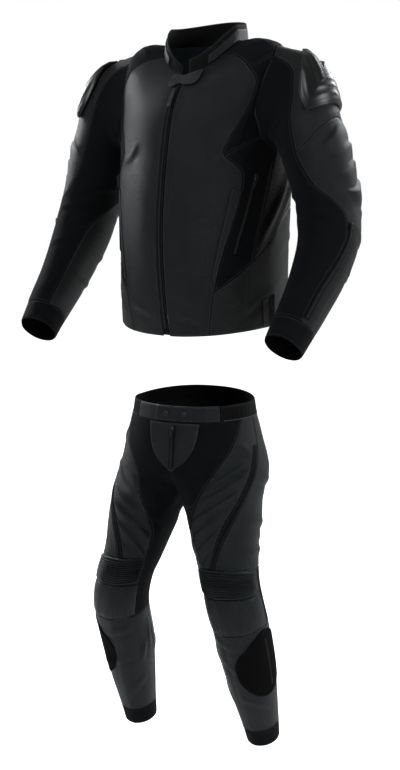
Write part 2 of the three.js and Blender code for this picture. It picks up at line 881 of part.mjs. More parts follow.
// Shoulder slider: a hard cap over the outside of the shoulder, domed, with a raised rim and two vents sunk in it.
const SLIDER_LIFT = 4;
const SLIDER_CENTRE = [3.7, 2.2];
const SLIDER_REACH = [2.9, 1.35];
function sliderPlace(s, t) {
  const [x, y] = rounded(s, t);
  const column = SLIDER_CENTRE[0] + SLIDER_REACH[0] * x;
  const row = SLIDER_CENTRE[1] + SLIDER_REACH[1] * y;
  const around = (column + SLEEVE_COLUMNS) % SLEEVE_COLUMNS;
  return { point: sleeve.point(around, row), normal: sleeve.normal(around, row) };
}
function sliderHeight(s, t) {
  const [x, y] = rounded(s, t);
  const edge = Math.hypot(x, y);
  const dome = 5 + 9 * (1 - edge ** 2.4);
  const vent = (cx) => clamp(1.6 - Math.hypot((x - cx) / 0.28, (y + 0.05) / 0.5));
  return SLIDER_LIFT + dome - 4.5 * ease(clamp(vent(-0.36) + vent(0.36)));
}
addPair(
  jacket,
  "shoulder_slider",
  slab({
    across: 10,
    along: 8,
    place: sliderPlace,
    low: () => SLIDER_LIFT,
    high: sliderHeight,
  }),
  HARD_FINISH,
);

// Forearm zips: from the elbow end of the front sleeve seam down to the cuff, under a narrow leather placket.
const FOREARM_PATH = Array.from({ length: 9 }, (_, n) => [0.3, 9.4 + n * 0.43]);
const forearmPlace = bandPlace(sleeve, FOREARM_PATH, () => 6);
const forearmTape = slab({
  across: 4,
  along: 8,
  place: forearmPlace,
  low: () => LIFT + 0.4,
  high: (s, t) => LIFT + 2 + (t < 0.07 && Math.abs(s - 0.5) < 0.3 ? 3.5 : 0),
});
addPair(jacket, "forearm_zip", forearmTape, HARD_FINISH);

// Trousers: rings from the waist down. Above the crotch each half is an open ring from the centre front round the side
// to the centre back, and below it the inner columns close the ring round the leg.
const HIPS = table(
  "level half front back zFront zSide zBack square",
  [0.0, 151, 104, 104, -8, 0, 16, 2.2],
  [0.34, 168, 113, 110, -70, -62, -50, 2.3],
  [0.7, 182, 117, 114, -132, -128, -120, 2.4],
);
const LEG = table(
  "row x y z wide deep lean",
  [6, 95, -40, -190, 91, 98, 0.0],
  [7, 102, -49, -226, 87, 94, 0.0],
  [8, 109, -58, -264, 81, 87, 0.0],
  [10, 125, -76, -338, 70, 75, -0.05],
  [13, 141, -87, -394, 66, 68, 0.1],
  [15, 155, -77, -468, 64, 66, 0.3],
  [17, 158, -41, -560, 62, 63, 0.36],
  [19, 163, -9, -656, 53, 55, 0.34],
  [20, 166, 20, -738, 43, 45, 0.32],
  [21, 167, 34, -781, 39, 41, 0.3],
);
const LEG_ANGLES = table(
  "row inner seam stripFront stripBack kneeSide back",
  [6, 152, 104, 46, 33, -50, -152],
  [7, 154, 120, 62, 48, -42, -154],
  [8, 158, 136, 76, 63, -30, -158],
  [10, 166, 146, 100, 89, -6, -162],
  [13, 168, 148, 104, 88, -8, -164],
  [21, 168, 150, 108, 88, -8, -164],
);
const HIP_ANGLES = table(
  "level seam stripFront stripBack kneeSide",
  [0.0, 68, 84, 90, 126],
  [0.34, 51, 79, 86, 125],
  [0.7, 28, 66, 75, 123],
);
const SEAM = 3; // columns of the trousers' seams
const STRIP_FRONT = 6;
const STRIP_BACK = 7;
const KNEE_SIDE = 10;
const BACK = 15;
const LEG_COLUMNS = 19;
const CROTCH = 6; // rows of the trousers' seams
const STRIP_TOP = 2;
const RIBS_START = 10;
const RIBS_END = 13;
const CUP_END = 15;
const ANKLE = 20;
const LEG_END = 21;

function hipPoint(angle, level) {
  const at = (key) => read(HIPS, key, level);
  const [s, c] = [Math.sin(angle * RAD), Math.cos(angle * RAD)];
  const root = 2 / at("square");
  const end = c > 0 ? "Front" : "Back";
  return vec(
    angle === 0 || angle === 180 ? 0 : at("half") * power(s, root),
    -at(end.toLowerCase()) * power(c, root),
    mix(at("zSide"), at("z" + end), Math.abs(c) ** 1.5),
  );
}

function hipRing(column, level) {
  const angle = between(
    [
      [0, 0],
      [SEAM, read(HIP_ANGLES, "seam", level)],
      [STRIP_FRONT, read(HIP_ANGLES, "stripFront", level)],
      [STRIP_BACK, read(HIP_ANGLES, "stripBack", level)],
      [KNEE_SIDE, read(HIP_ANGLES, "kneeSide", level)],
      [BACK, 180],
    ],
    column,
  );
  return hipPoint(angle, level);
}

function legRing(column, row) {
  const at = (key) => read(LEG, key, row);
  const seam = (key) => read(LEG_ANGLES, key, row);
  const angle =
    RAD *
    between(
      [
        [0, seam("inner")],
        [SEAM, seam("seam")],
        [STRIP_FRONT, seam("stripFront")],
        [STRIP_BACK, seam("stripBack")],
        [KNEE_SIDE, seam("kneeSide")],
        [BACK, seam("back")],
        [LEG_COLUMNS, seam("inner") - 360],
      ],
      column,
    );
  const fore = -at("deep") * Math.sin(angle);
  return vec(
    at("x") + at("wide") * Math.cos(angle),
    at("y") + fore,
    at("z") + at("lean") * fore,
  );
}

// The ring at the crotch: the leg's own ring, drawn in to the middle of the body between the legs.
const CROTCH_FRONT = [-88, -176];
const CROTCH_BACK = [74, -184];
const CROTCH_DROP = 20;
const CROTCH_LIFT = 10;
const LEAST_SIDE_STEP = 12;
function crotchRing(column) {
  if (column > 0 && column < BACK) {
    const p = legRing(column, CROTCH);
    p.x = Math.max(p.x, LEAST_SIDE_STEP);
    p.z += CROTCH_LIFT * Math.max(0, Math.cos((column / BACK) * 2 * Math.PI));
    return p;
  }
  const t = column === 0 ? 1 : (column - BACK) / (LEG_COLUMNS - BACK);
  return vec(
    0,
    mix(CROTCH_BACK[0], CROTCH_FRONT[0], t),
    mix(CROTCH_BACK[1], CROTCH_FRONT[1], t) - CROTCH_DROP * Math.sin(Math.PI * t),
  );
}

const KEY_ROWS = [0, 2, 4, 6, 7, 8, 10, 13, 15, 17, 19, 20, 21];
function legKey(column, row) {
  if (row < CROTCH) return hipRing(column, (row / 4) * 0.7);
  if (row === CROTCH) return crotchRing(column);
  return legRing(column, row);
}

// A column's point at any row: a smooth curve down the column through the key rings.
function legPlace(column, row) {
  const keys = KEY_ROWS.filter((r) => column < BACK + 0.5 || r >= CROTCH);
  const lines = keys.map((r) => {
    const p = legKey(column, r);
    return { row: r, x: p.x, y: p.y, z: p.z };
  });
  const p = vec(...["x", "y", "z"].map((k) => read(lines, k, row)));
  const onCentre = (column === 0 || column === BACK) && row <= CROTCH;
  if (onCentre) p.x = 0;
  return p;
}

const leg = makeSheet({
  columns: LEG_COLUMNS,
  rows: LEG_END,
  wraps: true,
  rowsGoDown: true,
  firstRow: (c) => (c > BACK ? CROTCH : 0),
  place: legPlace,
});

addPair(
  trousers,
  "stretch_panel",
  panel(
    leg,
    [
      ...block(0, SEAM, 0, CUP_END),
      ...block(BACK, LEG_COLUMNS, CROTCH, CUP_END),
      ...block(KNEE_SIDE, BACK, RIBS_START, CUP_END),
    ],
    { thick: WALL },
  ),
  STRETCH_FINISH,
);

// Hip and thigh leather, with padded pleats that run down across the thigh towards the crotch.
const THIGH_PLEATS = 4;
function thighPleat(column, row) {
  if (row <= 3 || row >= RIBS_START) return 0;
  const across = clamp((column - SEAM) / 0.5) * clamp((STRIP_FRONT - column) / 0.5);
  const phase = (row - 3.2 + (column - SEAM) * 0.9) * (THIGH_PLEATS / 5.4);
  const ends = clamp((row - 3) / 0.8) * clamp((RIBS_START - row) / 1.2);
  return 6 * ease(across) * ends * (0.5 - 0.5 * Math.cos(2 * Math.PI * phase));
}
addPair(
  trousers,
  "hip_panel",
  panel(
    leg,
    [...block(SEAM, STRIP_FRONT, 0, RIBS_START), ...block(STRIP_FRONT, STRIP_BACK, 0, STRIP_TOP)],
    { thick: WALL, raise: thighPleat, split: (row) => (row < 3 ? 1 : 3) },
  ),
  LEATHER_FINISH,
);
addPair(
  trousers,
  "side_strip",
  panel(leg, block(STRIP_FRONT, STRIP_BACK, STRIP_TOP, RIBS_START), { thick: WALL }),
  STRETCH_FINISH,
);
addPair(
  trousers,
  "seat_panel",
  panel(leg, block(STRIP_BACK, BACK, 0, RIBS_START), { thick: WALL }),
  LEATHER_FINISH,
);

// Nine ribs across the front of the knee, three for each row.
const RIB_HEIGHT = 4;
const RIBS_PER_ROW = 3;
function kneeRib(column, row) {
  const side = clamp((column - SEAM) / 0.6) * clamp((KNEE_SIDE - column) / 0.6);
  const wave = Math.abs(Math.sin(Math.PI * RIBS_PER_ROW * (row - RIBS_START)));
  const ends = row <= RIBS_START || row >= RIBS_END ? 0 : 1;
  return RIB_HEIGHT * ease(side) * ends * wave;
}
addPair(
  trousers,
  "knee_ribs",
  panel(leg, block(SEAM, KNEE_SIDE, RIBS_START, RIBS_END), {
    thick: WALL,
    raise: kneeRib,
    split: () => 2 * RIBS_PER_ROW,
  }),
  LEATHER_FINISH,
);

// Knee cup: padded, so it stands out in the middle.
const kneePad = (column, row) => {
  const side = Math.sin(Math.PI * clamp((column - SEAM) / (KNEE_SIDE - SEAM)));
  const tall = Math.sin(Math.PI * clamp((row - RIBS_END) / (CUP_END - RIBS_END)));
  return 7 * Math.sqrt(Math.max(0, side * tall));
};
addPair(
  trousers,
  "knee_cup",
  panel(leg, block(SEAM, KNEE_SIDE, RIBS_END, CUP_END), {
    thick: WALL,
    raise: kneePad,
    split: () => 2,
  }),
  LEATHER_FINISH,
);
addPair(
  trousers,
  "lower_leg",
  panel(leg, block(0, LEG_COLUMNS, CUP_END, ANKLE), { thick: WALL }),
  LEATHER_FINISH,
);
addPair(
  trousers,
  "ankle_cuff",
  panel(leg, block(0, LEG_COLUMNS, ANKLE, LEG_END), { thick: WALL }),
  STRETCH_FINISH,
);

// Calf patch: a tall oval of rough cloth on the outside of the calf.
addPair(
  trousers,
  "calf_patch",
  slab({
    across: 8,
    along: 5,
    place: (s, t) => {
      const column = 7 + 4 * s;
      const reach = Math.sqrt(1.06 - ((column - 9) / 2) ** 2);
      const row = 16.9 + 1.75 * reach * (2 * t - 1);
      return { point: leg.point(column, row), normal: leg.normal(column, row) };
    },
    low: () => LIFT + 0.3,
    high: () => LIFT + 0.3 + APPLIED,
  }),
  STRETCH_FINISH,
);

// Waistband: an elastic band round the sides and back, closed in front by a leather tab.
function waistPlace(angle, rise) {
  const base = hipPoint(angle, 0);
  const out = vec(base.x, base.y, 0).normalize();
  const point = base.clone().addScaledVector(out, -5 * rise);
  point.z += SEAM_GAP + rise * WAISTBAND_HEIGHT;
  return { point, normal: out };
}
const BAND_OPENING = 43;
add(
  trousers,
  "waistband",
  slab({
    across: 28,
    along: 2,
    place: (s, t) => waistPlace(mix(BAND_OPENING, 360 - BAND_OPENING, s), t),
    low: () => -2.4,
    high: () => 0.4,
  }),
  STRETCH_FINISH,
);
const TAB_SNAPS = [0.42, 0.6];
add(
  trousers,
  "waist_tab",
  slab({
    across: 16,
    along: 4,
    place: (s, t) => waistPlace(mix(-BAND_OPENING + 0.6, BAND_OPENING - 0.6, s), t),
    low: () => 0.4 - WALL,
    high: (s, t) => {
      const snap = TAB_SNAPS.some((x) => Math.hypot((s - x) * 5.6, t - 0.5) < 0.2);
      return 0.9 + (s > 0.3 ? 1.4 : 0) + (snap ? 1.6 : 0);
    },
  }),
  LEATHER_FINISH,
);

// Fly: a leather shield over the centre front, with its zip and pull.
const FLY_REACH = 1.0;
function flyPlace(s, t) {
  const side = 2 * s - 1;
  const column = FLY_REACH * side * Math.sqrt(1 - 0.96 * t ** 3);
  const row = mix(0.15, 3.7, t) - 0.3 * side ** 2 * t;
  const point = leg.point(Math.abs(column), row);
  const normal = leg.normal(Math.abs(column), row);
  if (column < 0) [point.x, normal.x] = [-point.x, -normal.x];
  return { point, normal };
}
add(
  trousers,
  "fly",
  slab({ across: 6, along: 8, place: flyPlace, low: () => LIFT + 0.4, high: () => LIFT + 2.4 }),
  LEATHER_FINISH,
);
const flyZipPlace = (s, t) => {
  const { point, normal } = flyPlace(0.5, mix(0.06, 0.93, t));
  point.x = (2 * s - 1) * 6;
  return { point, normal };
};
const flyTape = slab({
  across: 4,
  along: 8,
  place: flyZipPlace,
  low: () => 3.8,
  high: (s) => 4.8 + (Math.abs(s - 0.5) < 0.3 ? 1 : 0),
});
const flySlider = flyZipPlace(0.5, 0.06);
flySlider.point.addScaledVector(flySlider.normal, 4.8);
const flyFrame = frameAt(
  flySlider.point,
  flyZipPlace(0.5, 0.3).point.sub(flyZipPlace(0.5, 0.06).point),
  flySlider.normal,
);
add(trousers, "fly_zip", withSlider(flyTape, flyFrame), HARD_FINISH);
add(trousers, "fly_pull", pull(flyFrame, 20, 6), METAL_FINISH);

export default suit;
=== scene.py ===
"""A two-piece motorcycle race suit, filled out as if it were worn: a leather and stretch-cloth jacket
above its trousers. Each garment is a smooth sheet through a lattice of columns and rows, cut along its
seams into panels."""
import math

import bpy
import numpy as np
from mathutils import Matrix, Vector


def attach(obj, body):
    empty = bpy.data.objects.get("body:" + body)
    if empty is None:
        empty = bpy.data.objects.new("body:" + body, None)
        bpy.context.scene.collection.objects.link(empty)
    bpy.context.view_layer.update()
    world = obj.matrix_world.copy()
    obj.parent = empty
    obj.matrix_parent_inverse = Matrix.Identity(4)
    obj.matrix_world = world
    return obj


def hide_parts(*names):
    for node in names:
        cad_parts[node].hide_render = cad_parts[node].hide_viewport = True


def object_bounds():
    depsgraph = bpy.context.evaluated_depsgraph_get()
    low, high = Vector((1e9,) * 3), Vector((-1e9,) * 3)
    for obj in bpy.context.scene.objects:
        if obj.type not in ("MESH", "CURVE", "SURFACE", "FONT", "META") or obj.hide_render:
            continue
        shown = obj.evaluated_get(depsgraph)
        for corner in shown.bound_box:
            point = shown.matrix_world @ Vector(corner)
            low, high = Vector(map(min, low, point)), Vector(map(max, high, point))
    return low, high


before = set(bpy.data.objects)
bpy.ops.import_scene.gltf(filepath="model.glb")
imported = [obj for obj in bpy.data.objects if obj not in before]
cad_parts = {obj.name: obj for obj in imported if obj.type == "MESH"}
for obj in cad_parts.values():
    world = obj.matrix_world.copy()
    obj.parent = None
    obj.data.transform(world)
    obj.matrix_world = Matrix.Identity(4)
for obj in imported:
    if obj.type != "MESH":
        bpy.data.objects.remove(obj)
cad_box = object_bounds()

# The studio: a camera a little above the middle of the suit, soft lamps and a pale floor under the ankles.
# The view is the photograph's, 400 by 770 pixels, from the wearer's left front.
AIM = np.array([0.0, 0.0, -0.8])
CAMERA_AZIMUTH, CAMERA_HEIGHT = 31, 8
CAMERA_DISTANCE = 3.4
FRAME_HEIGHT_M = 770 * 0.00234
FLOOR_GAP = 0.05


def seen_from(azimuth, height, distance):
    """The place at a distance from AIM: azimuth 0 is in front of the suit and turns towards +X, in
    degrees."""
    azimuth, height = math.radians(azimuth), math.radians(height)
    flat = math.cos(height)
    return AIM + distance * np.array([math.sin(azimuth) * flat, -math.cos(azimuth) * flat, math.sin(height)])


def add_looking(name, data, place, aim=AIM):
    """A camera or lamp at a place, with its -Z axis towards aim."""
    item = bpy.data.objects.new(name, data)
    item.location = place
    item.rotation_euler = Vector(aim - place).to_track_quat("-Z", "Y").to_euler()
    bpy.context.scene.collection.objects.link(item)
    return item


camera = add_looking("camera", bpy.data.cameras.new("camera"),
                     seen_from(CAMERA_AZIMUTH, CAMERA_HEIGHT, CAMERA_DISTANCE))
camera.data.sensor_fit = "VERTICAL"
camera.data.lens = camera.data.sensor_height * CAMERA_DISTANCE / FRAME_HEIGHT_M
camera.data.shift_x, camera.data.shift_y = -4 / 770, 2 / 770
bpy.context.scene.camera = camera

ROOM_LIGHT, BACKDROP_LIGHT = 0.16, 0.5
LAMP_COLOUR = (0.93, 0.97, 1.0)
LAMPS = [
    dict(name="key", azimuth=-25, height=45, distance=3.4, size=0.9, watts=30),
    dict(name="side", azimuth=95, height=25, distance=3.0, size=0.7, watts=30),
    dict(name="rim_left", azimuth=165, height=35, distance=3.2, size=1.2, watts=45),
    dict(name="rim_right", azimuth=-105, height=25, distance=3.2, size=0.9, watts=45),
]
for lamp in LAMPS:
    light = bpy.data.lights.new(lamp["name"], "AREA")
    light.shape, light.size, light.energy = "DISK", lamp["size"], lamp["watts"]
    light.color = LAMP_COLOUR
    add_looking(lamp["name"], light, seen_from(lamp["azimuth"], lamp["height"], lamp["distance"]))

sky = bpy.data.worlds.new("sky")
sky.use_nodes = True
backdrop = (AIM - seen_from(CAMERA_AZIMUTH, 0, 1)).tolist()
way = sky.node_tree.nodes.new("ShaderNodeTexCoord")
behind = sky.node_tree.nodes.new("ShaderNodeVectorMath")
behind.operation = "DOT_PRODUCT"
behind.inputs[1].default_value = backdrop
level = sky.node_tree.nodes.new("ShaderNodeMapRange")
for key, value in {"From Min": 0.1, "From Max": 0.75, "To Min": ROOM_LIGHT,
                   "To Max": BACKDROP_LIGHT}.items():
    level.inputs[key].default_value = value
sky.node_tree.links.new(way.outputs["Generated"], behind.inputs[0])
sky.node_tree.links.new(behind.outputs["Value"], level.inputs["Value"])
seen = sky.node_tree.nodes.new("ShaderNodeMath")
seen.operation = "MAXIMUM"
sky.node_tree.links.new(level.outputs[0], seen.inputs[0])
sky.node_tree.links.new(sky.node_tree.nodes.new("ShaderNodeLightPath").outputs["Is Camera Ray"],
                        seen.inputs[1])
sky.node_tree.links.new(seen.outputs[0], sky.node_tree.nodes["Background"].inputs["Color"])
bpy.context.scene.world = sky

bpy.context.scene.view_settings.view_transform = "Standard"

floor_mesh = bpy.data.meshes.new("floor")
floor_z = cad_box[0][2] - FLOOR_GAP
floor_mesh.from_pydata([(x, y, floor_z) for x, y in ((-9, -9), (9, -9), (9, 9), (-9, 9))], [],
                       [(0, 1, 2, 3)])
floor = bpy.data.objects.new("floor", floor_mesh)
bpy.context.scene.collection.objects.link(floor)
floor_paint = bpy.data.materials.new("pale_floor")
floor_paint.use_nodes = True
floor_shader = floor_paint.node_tree.nodes["Principled BSDF"].inputs
floor_shader["Base Color"].default_value = (0.92, 0.92, 0.92, 1)
floor_shader["Roughness"].default_value = 0.9
floor_shader["Emission Color"].default_value = (1, 1, 1, 1)
floor_glow = floor_paint.node_tree.nodes.new("ShaderNodeLightPath").outputs["Is Camera Ray"]
floor_paint.node_tree.links.new(floor_glow, floor_shader["Emission Strength"])
floor_mesh.materials.append(floor_paint)

# Leather fronts: one perforated cowhide panel on each side of the zip, from the hem to the collar. The
# jacket's body is a stack of rings, and its seams are columns and rows of a lattice of points on them, in
# millimetres.
MM = 0.001
RAD = math.pi / 180
JACKET_TURN = -4
WALL = 2.4
ZIP_HALF_WIDTH = 9
FRONT, ARMHOLE_FRONT, SIDE, ARMHOLE_BACK, CENTRE_BACK = 5, 8, 10, 12, 17
WAIST_SEAM, ARMPIT, SHOULDER, NECK = 4, 10, 15, 19


def table(names, *lines):
    """A table: a column of numbers for each name, and one line for each section."""
    return dict(zip(names.split(), np.array(lines, float).T))


def curve(x, y, at):
    """The cubic through values y at places x, whose slope at each is that of the line from the one before
    to the one after: (2t^3 - 3t^2 + 1) a + (t^3 - 2t^2 + t) a' + (3t^2 - 2t^3) b + (t^3 - t^2) b'."""
    last = len(x) - 1
    before, after = np.maximum(np.arange(last + 1) - 1, 0), np.minimum(np.arange(last + 1) + 1, last)
    wide = lambda values: np.reshape(values, np.shape(values) + (1,) * (y.ndim - 1))
    slope = (y[after] - y[before]) / wide(x[after] - x[before])
    n = np.clip(np.searchsorted(x, at) - 1, 0, last - 1)
    t, step = wide(np.clip((at - x[n]) / (x[n + 1] - x[n]), 0, 1)), wide(x[n + 1] - x[n])
    ends = (2 * t**3 - 3 * t**2 + 1) * y[n] + (3 * t**2 - 2 * t**3) * y[n + 1]
    return ends + step * ((t**3 - 2 * t**2 + t) * slope[n] + (t**3 - t**2) * slope[n + 1])


def read(rows, key, at):
    """A column of a table at places along its first column."""
    return curve(rows[next(iter(rows))], rows[key], at)


def step_weights(keys, at):
    """Weights for straight steps between key columns: a line for each place and a column for each key."""
    keys, at = np.asarray(keys, float), np.atleast_1d(at)
    n = np.clip(np.searchsorted(keys, at) - 1, 0, len(keys) - 2)
    t = (at - keys[n]) / (keys[n + 1] - keys[n])
    weights = np.zeros((len(at), len(keys)))
    weights[np.arange(len(at)), n] = 1 - t
    weights[np.arange(len(at)), n + 1] = t
    return weights


BODY = table(
    "level half front back z_front z_side z_back square",
    [0.0, 203, 147, 156, -668, -643, -648, 2.15],
    [0.12, 200, 163, 163, -578, -566, -570, 2.15],
    [0.26, 199, 173, 174, -470, -462, -466, 2.1],
    [0.4, 202, 170, 182, -372, -360, -362, 2.1],
    [0.55, 203, 156, 178, -268, -255, -256, 2.15],
    [0.7, 203, 138, 168, -184, -164, -152, 2.2],
    [0.8, 203, 118, 154, -138, -90, -76, 2.2],
    [0.88, 193, 98, 138, -112, -31, -24, 2.15],
    [0.94, 150, 83, 124, -98, -10, -10, 2.1],
    [1.0, 95, 72, 112, -86, -16, -6, 2.0],
)
FRONT_SEAM = table(
    "level angle",
    [0, 29], [0.135, 36], [0.3, 47.5], [0.42, 54.5], [0.485, 55], [0.545, 41], [0.585, 42],
    [0.66, 50], [0.715, 56], [0.76, 62], [0.79, 62], [0.845, 55], [0.9, 52], [1.0, 57],
)
SEAM_ANGLES = table(
    "row armhole_front side armhole_back",
    [0, 48, 62, 106],
    [4, 53, 66, 110],
    [7, 62, 75, 112],
    [10, 69, 86, 111],
    [12, 63, 90, 119],
    [14, 70, 91, 113],
    [15, 81, 91, 103],
    [19, 82, 91, 101],
)
ROW_LEVELS = table(
    "row centre front armhole_front side armhole_back back",
    [0, 0, 0, 0, 0, 0, 0],
    [4, 0.125, 0.135, 0.175, 0.215, 0.365, 0.39],
    [9, 0.47, 0.485, 0.51, 0.5, 0.51, 0.51],
    [10, 0.54, 0.545, 0.6, 0.56, 0.585, 0.57],
    [13, 0.72, 0.72, 0.745, 0.745, 0.745, 0.73],
    [15, 0.84, 0.86, 0.86, 0.885, 0.885, 0.86],
    [19, 1, 1, 1, 1, 1, 1],
)


def ring_point(rings, angle, level):
    """A point of a rounded ring: x is half times the sine to the power 2 / square, and y is front or back
    times the cosine to that power. The height goes from the side's to the front's or back's with the
    cosine to the power 1.5."""
    sine, cosine = np.sin(angle * RAD), np.cos(angle * RAD)
    root = 2 / read(rings, "square", level)
    depth = np.where(cosine > 0, read(rings, "front", level), read(rings, "back", level))
    z_end = np.where(cosine > 0, read(rings, "z_front", level), read(rings, "z_back", level))
    z_side = read(rings, "z_side", level)
    x = read(rings, "half", level) * np.sign(sine) * abs(sine) ** root
    y = -depth * np.sign(cosine) * abs(cosine) ** root
    return np.stack([x, y, z_side + (z_end - z_side) * abs(cosine) ** 1.5], -1)


def body_lattice():
    """The jacket body's lattice points: each column's angle and level go in straight steps between the
    seams."""
    column, row = np.arange(2 * CENTRE_BACK + 1), np.arange(NECK + 1)
    half = np.minimum(column, 2 * CENTRE_BACK - column)
    weights = step_weights([0, FRONT, ARMHOLE_FRONT, SIDE, ARMHOLE_BACK, CENTRE_BACK], half)
    level = weights @ np.stack([read(ROW_LEVELS, key, row) for key in list(ROW_LEVELS)[1:]])
    zip_share = (ZIP_HALF_WIDTH / read(BODY, "half", level)) ** (read(BODY, "square", level) / 2)
    seams = [read(SEAM_ANGLES, key, row) + 0 * level for key in list(SEAM_ANGLES)[1:]]
    keyed = np.stack([np.arcsin(zip_share) / RAD, read(FRONT_SEAM, "angle", level), *seams, 180 + 0 * level])
    angle = np.einsum("ck,kcr->cr", weights, keyed)
    return ring_point(BODY, np.where(column[:, None] > CENTRE_BACK, 360 - angle, angle), level)


def padded_lattice(points, wraps):
    """The lattice with one more line on each side: the far side's line where it wraps, or a straight
    continuation."""
    first, last = 2 * points[:1] - points[1:2], 2 * points[-1:] - points[-2:-1]
    if wraps:
        first, last = points[-2:-1], points[1:2]
    wide = np.concatenate([first, points, last])
    return np.concatenate([2 * wide[:, :1] - wide[:, 1:2], wide, 2 * wide[:, -1:] - wide[:, -2:-1]], axis=1)


def spline_weights(count, at):
    """Catmull-Rom weights of a padded line of lattice points, for places from 0 to count - 1, and their
    slopes."""
    n = np.clip(np.floor(at).astype(int), 0, count - 2)
    t = at - n
    value = np.stack([-t + 2 * t**2 - t**3, 2 - 5 * t**2 + 3 * t**3, t + 4 * t**2 - 3 * t**3, t**3 - t**2],
                     -1)
    slope = np.stack([-1 + 4 * t - 3 * t**2, 9 * t**2 - 10 * t, 1 + 8 * t - 9 * t**2, 3 * t**2 - 2 * t], -1)
    weights, slopes = np.zeros((2, *at.shape, count + 2))
    np.put_along_axis(weights, n[..., None] + np.arange(4), value / 2, -1)
    np.put_along_axis(slopes, n[..., None] + np.arange(4), slope / 2, -1)
    return weights, slopes


def grid_places(count, seams, fine):
    """Places from 0 to count, 8 steps to each unit or as many as `fine` gives, drawn together beside the
    seams."""
    places = []
    for n in range(count):
        u = np.linspace(0, 1, fine.get(n, 8) + 1)[:-1]
        shapes = {(0, 0): u, (1, 0): u**1.4, (0, 1): 1 - (1 - u) ** 1.4,
                  (1, 1): (u + u * u * (3 - 2 * u)) / 2}
        places.append(n + shapes[int(n in seams), int(n + 1 in seams)])
    return np.concatenate([*places, [count]])


def fold_height(point, normal, path, width, height):
    """One fold's height: a bell across the path with a shallower trough on one side, fading out at both
    ends."""
    start, step = path[:-1], np.diff(path, axis=0)
    offset = point[..., None, :] - start
    t = np.clip((offset * step).sum(-1) / (step**2).sum(-1), 0, 1)
    gap = offset - t[..., None] * step
    distance = np.linalg.norm(gap, axis=-1)
    nearest = distance.argmin(-1)[..., None]
    pick = lambda values: np.take_along_axis(values, nearest, -1)[..., 0]
    gap = np.take_along_axis(gap, nearest[..., None], -2)[..., 0, :]
    side = np.sign((np.cross(step[nearest[..., 0]], normal) * gap).sum(-1))
    s = side * pick(distance) / width
    taper = np.maximum(np.sin(math.pi * (nearest[..., 0] + pick(t)) / len(step)), 0) ** 0.6
    return height * taper * (np.exp(-s * s) - 0.6 * np.exp(-((s - 1.7) ** 2)))


def flat_places(point):
    """How far each point of a grid lies along its row and its column, in millimetres."""
    flat = np.zeros((*point.shape[:2], 2))
    flat[1:, :, 0] = np.cumsum(np.linalg.norm(np.diff(point, axis=0), axis=-1), axis=0)
    flat[:, 1:, 1] = np.cumsum(np.linalg.norm(np.diff(point, axis=1), axis=-1), axis=1)
    return flat


class Sheet:
    """A garment's smooth sheet of cloth: a spline through its lattice, its folds, and the turn, mirror and
    place that put it in the suit. `grid` is its fine grid of (points, outward normals, flat coordinates,
    fold heights)."""

    def __init__(self, lattice, seams, wraps=False, outwards=1, turn=0, place=(0, 0, 0), mirror=1, fit=None,
                 folds=(), seed=1, fine=()):
        self.lattice, self.wraps, self.outwards, self.fit = lattice, wraps, outwards, fit
        self.mirror, self.place = mirror, np.array(place, float)
        cosine, sine = math.cos(turn * RAD), math.sin(turn * RAD)
        self.turn = np.array([[cosine, -sine, 0], [sine, cosine, 0], [0, 0, 1]])
        self.folds = [self.fold_path(**line) for line in folds]
        random = np.random.default_rng(seed)
        way = random.normal(size=(7, 3))
        self.waves = way / np.linalg.norm(way, axis=1)[:, None] * 2 * math.pi / random.uniform(55, 150,
                                                                                               7)[:, None]
        self.columns, self.rows = (grid_places(n - 3, s, f)
                                   for n, s, f in zip(lattice.shape, seams, ({}, dict(fine))))
        point, normal = self.at(self.columns[:, None], self.rows[None, :])
        self.grid = point, normal, flat_places(point), self.relief(point, normal)

    def at(self, column, row):
        """Points and unit normals: the lattice weighed by both splines, and the cross product of its
        slopes."""
        column, row = np.broadcast_arrays(np.asarray(column, float), np.asarray(row, float))
        (wc, sc), (wr, sr) = (spline_weights(n - 2, at) for n, at in zip(self.lattice.shape, (column, row)))
        point, across, along = (np.einsum("...c,crk,...r->...k", a, self.lattice, b, optimize=True)
                                for a, b in ((wc, wr), (sc, wr), (wc, sr)))
        normal = np.cross(across, along) * self.outwards
        if self.fit:
            point = point + self.fit(column, row)
        return point, normal / np.maximum(np.linalg.norm(normal, axis=-1, keepdims=True), 1e-9)

    def fold_path(self, start, end, bow, width, height, steps=9):
        """A fold's line in space, from one (column, row) to another, with its middle bowed by some
        columns."""
        t = np.linspace(0, 1, steps)
        column = start[0] + (end[0] - start[0]) * t + bow * np.sin(math.pi * t)
        return self.at(column, start[1] + (end[1] - start[1]) * t)[0], width, height

    def relief(self, point, normal):
        """The folds' heights, and a slow unevenness: the mean of sine waves that run in random directions."""
        height = 0.9 * np.sin(point @ self.waves.T + np.arange(7)).mean(-1)
        for path, width, tall in self.folds:
            height = height + fold_height(point, normal, path, width, tall)
        return height

    def surface(self, column, row):
        """Points on the sheet's folds, and their normals."""
        point, normal = self.at(column, row)
        return point + normal * self.relief(point, normal)[..., None], normal

    def world(self, point):
        """Points of the sheet in the suit's frame, in metres."""
        return ((point * [self.mirror, 1, 1]) @ self.turn.T + self.place) * MM


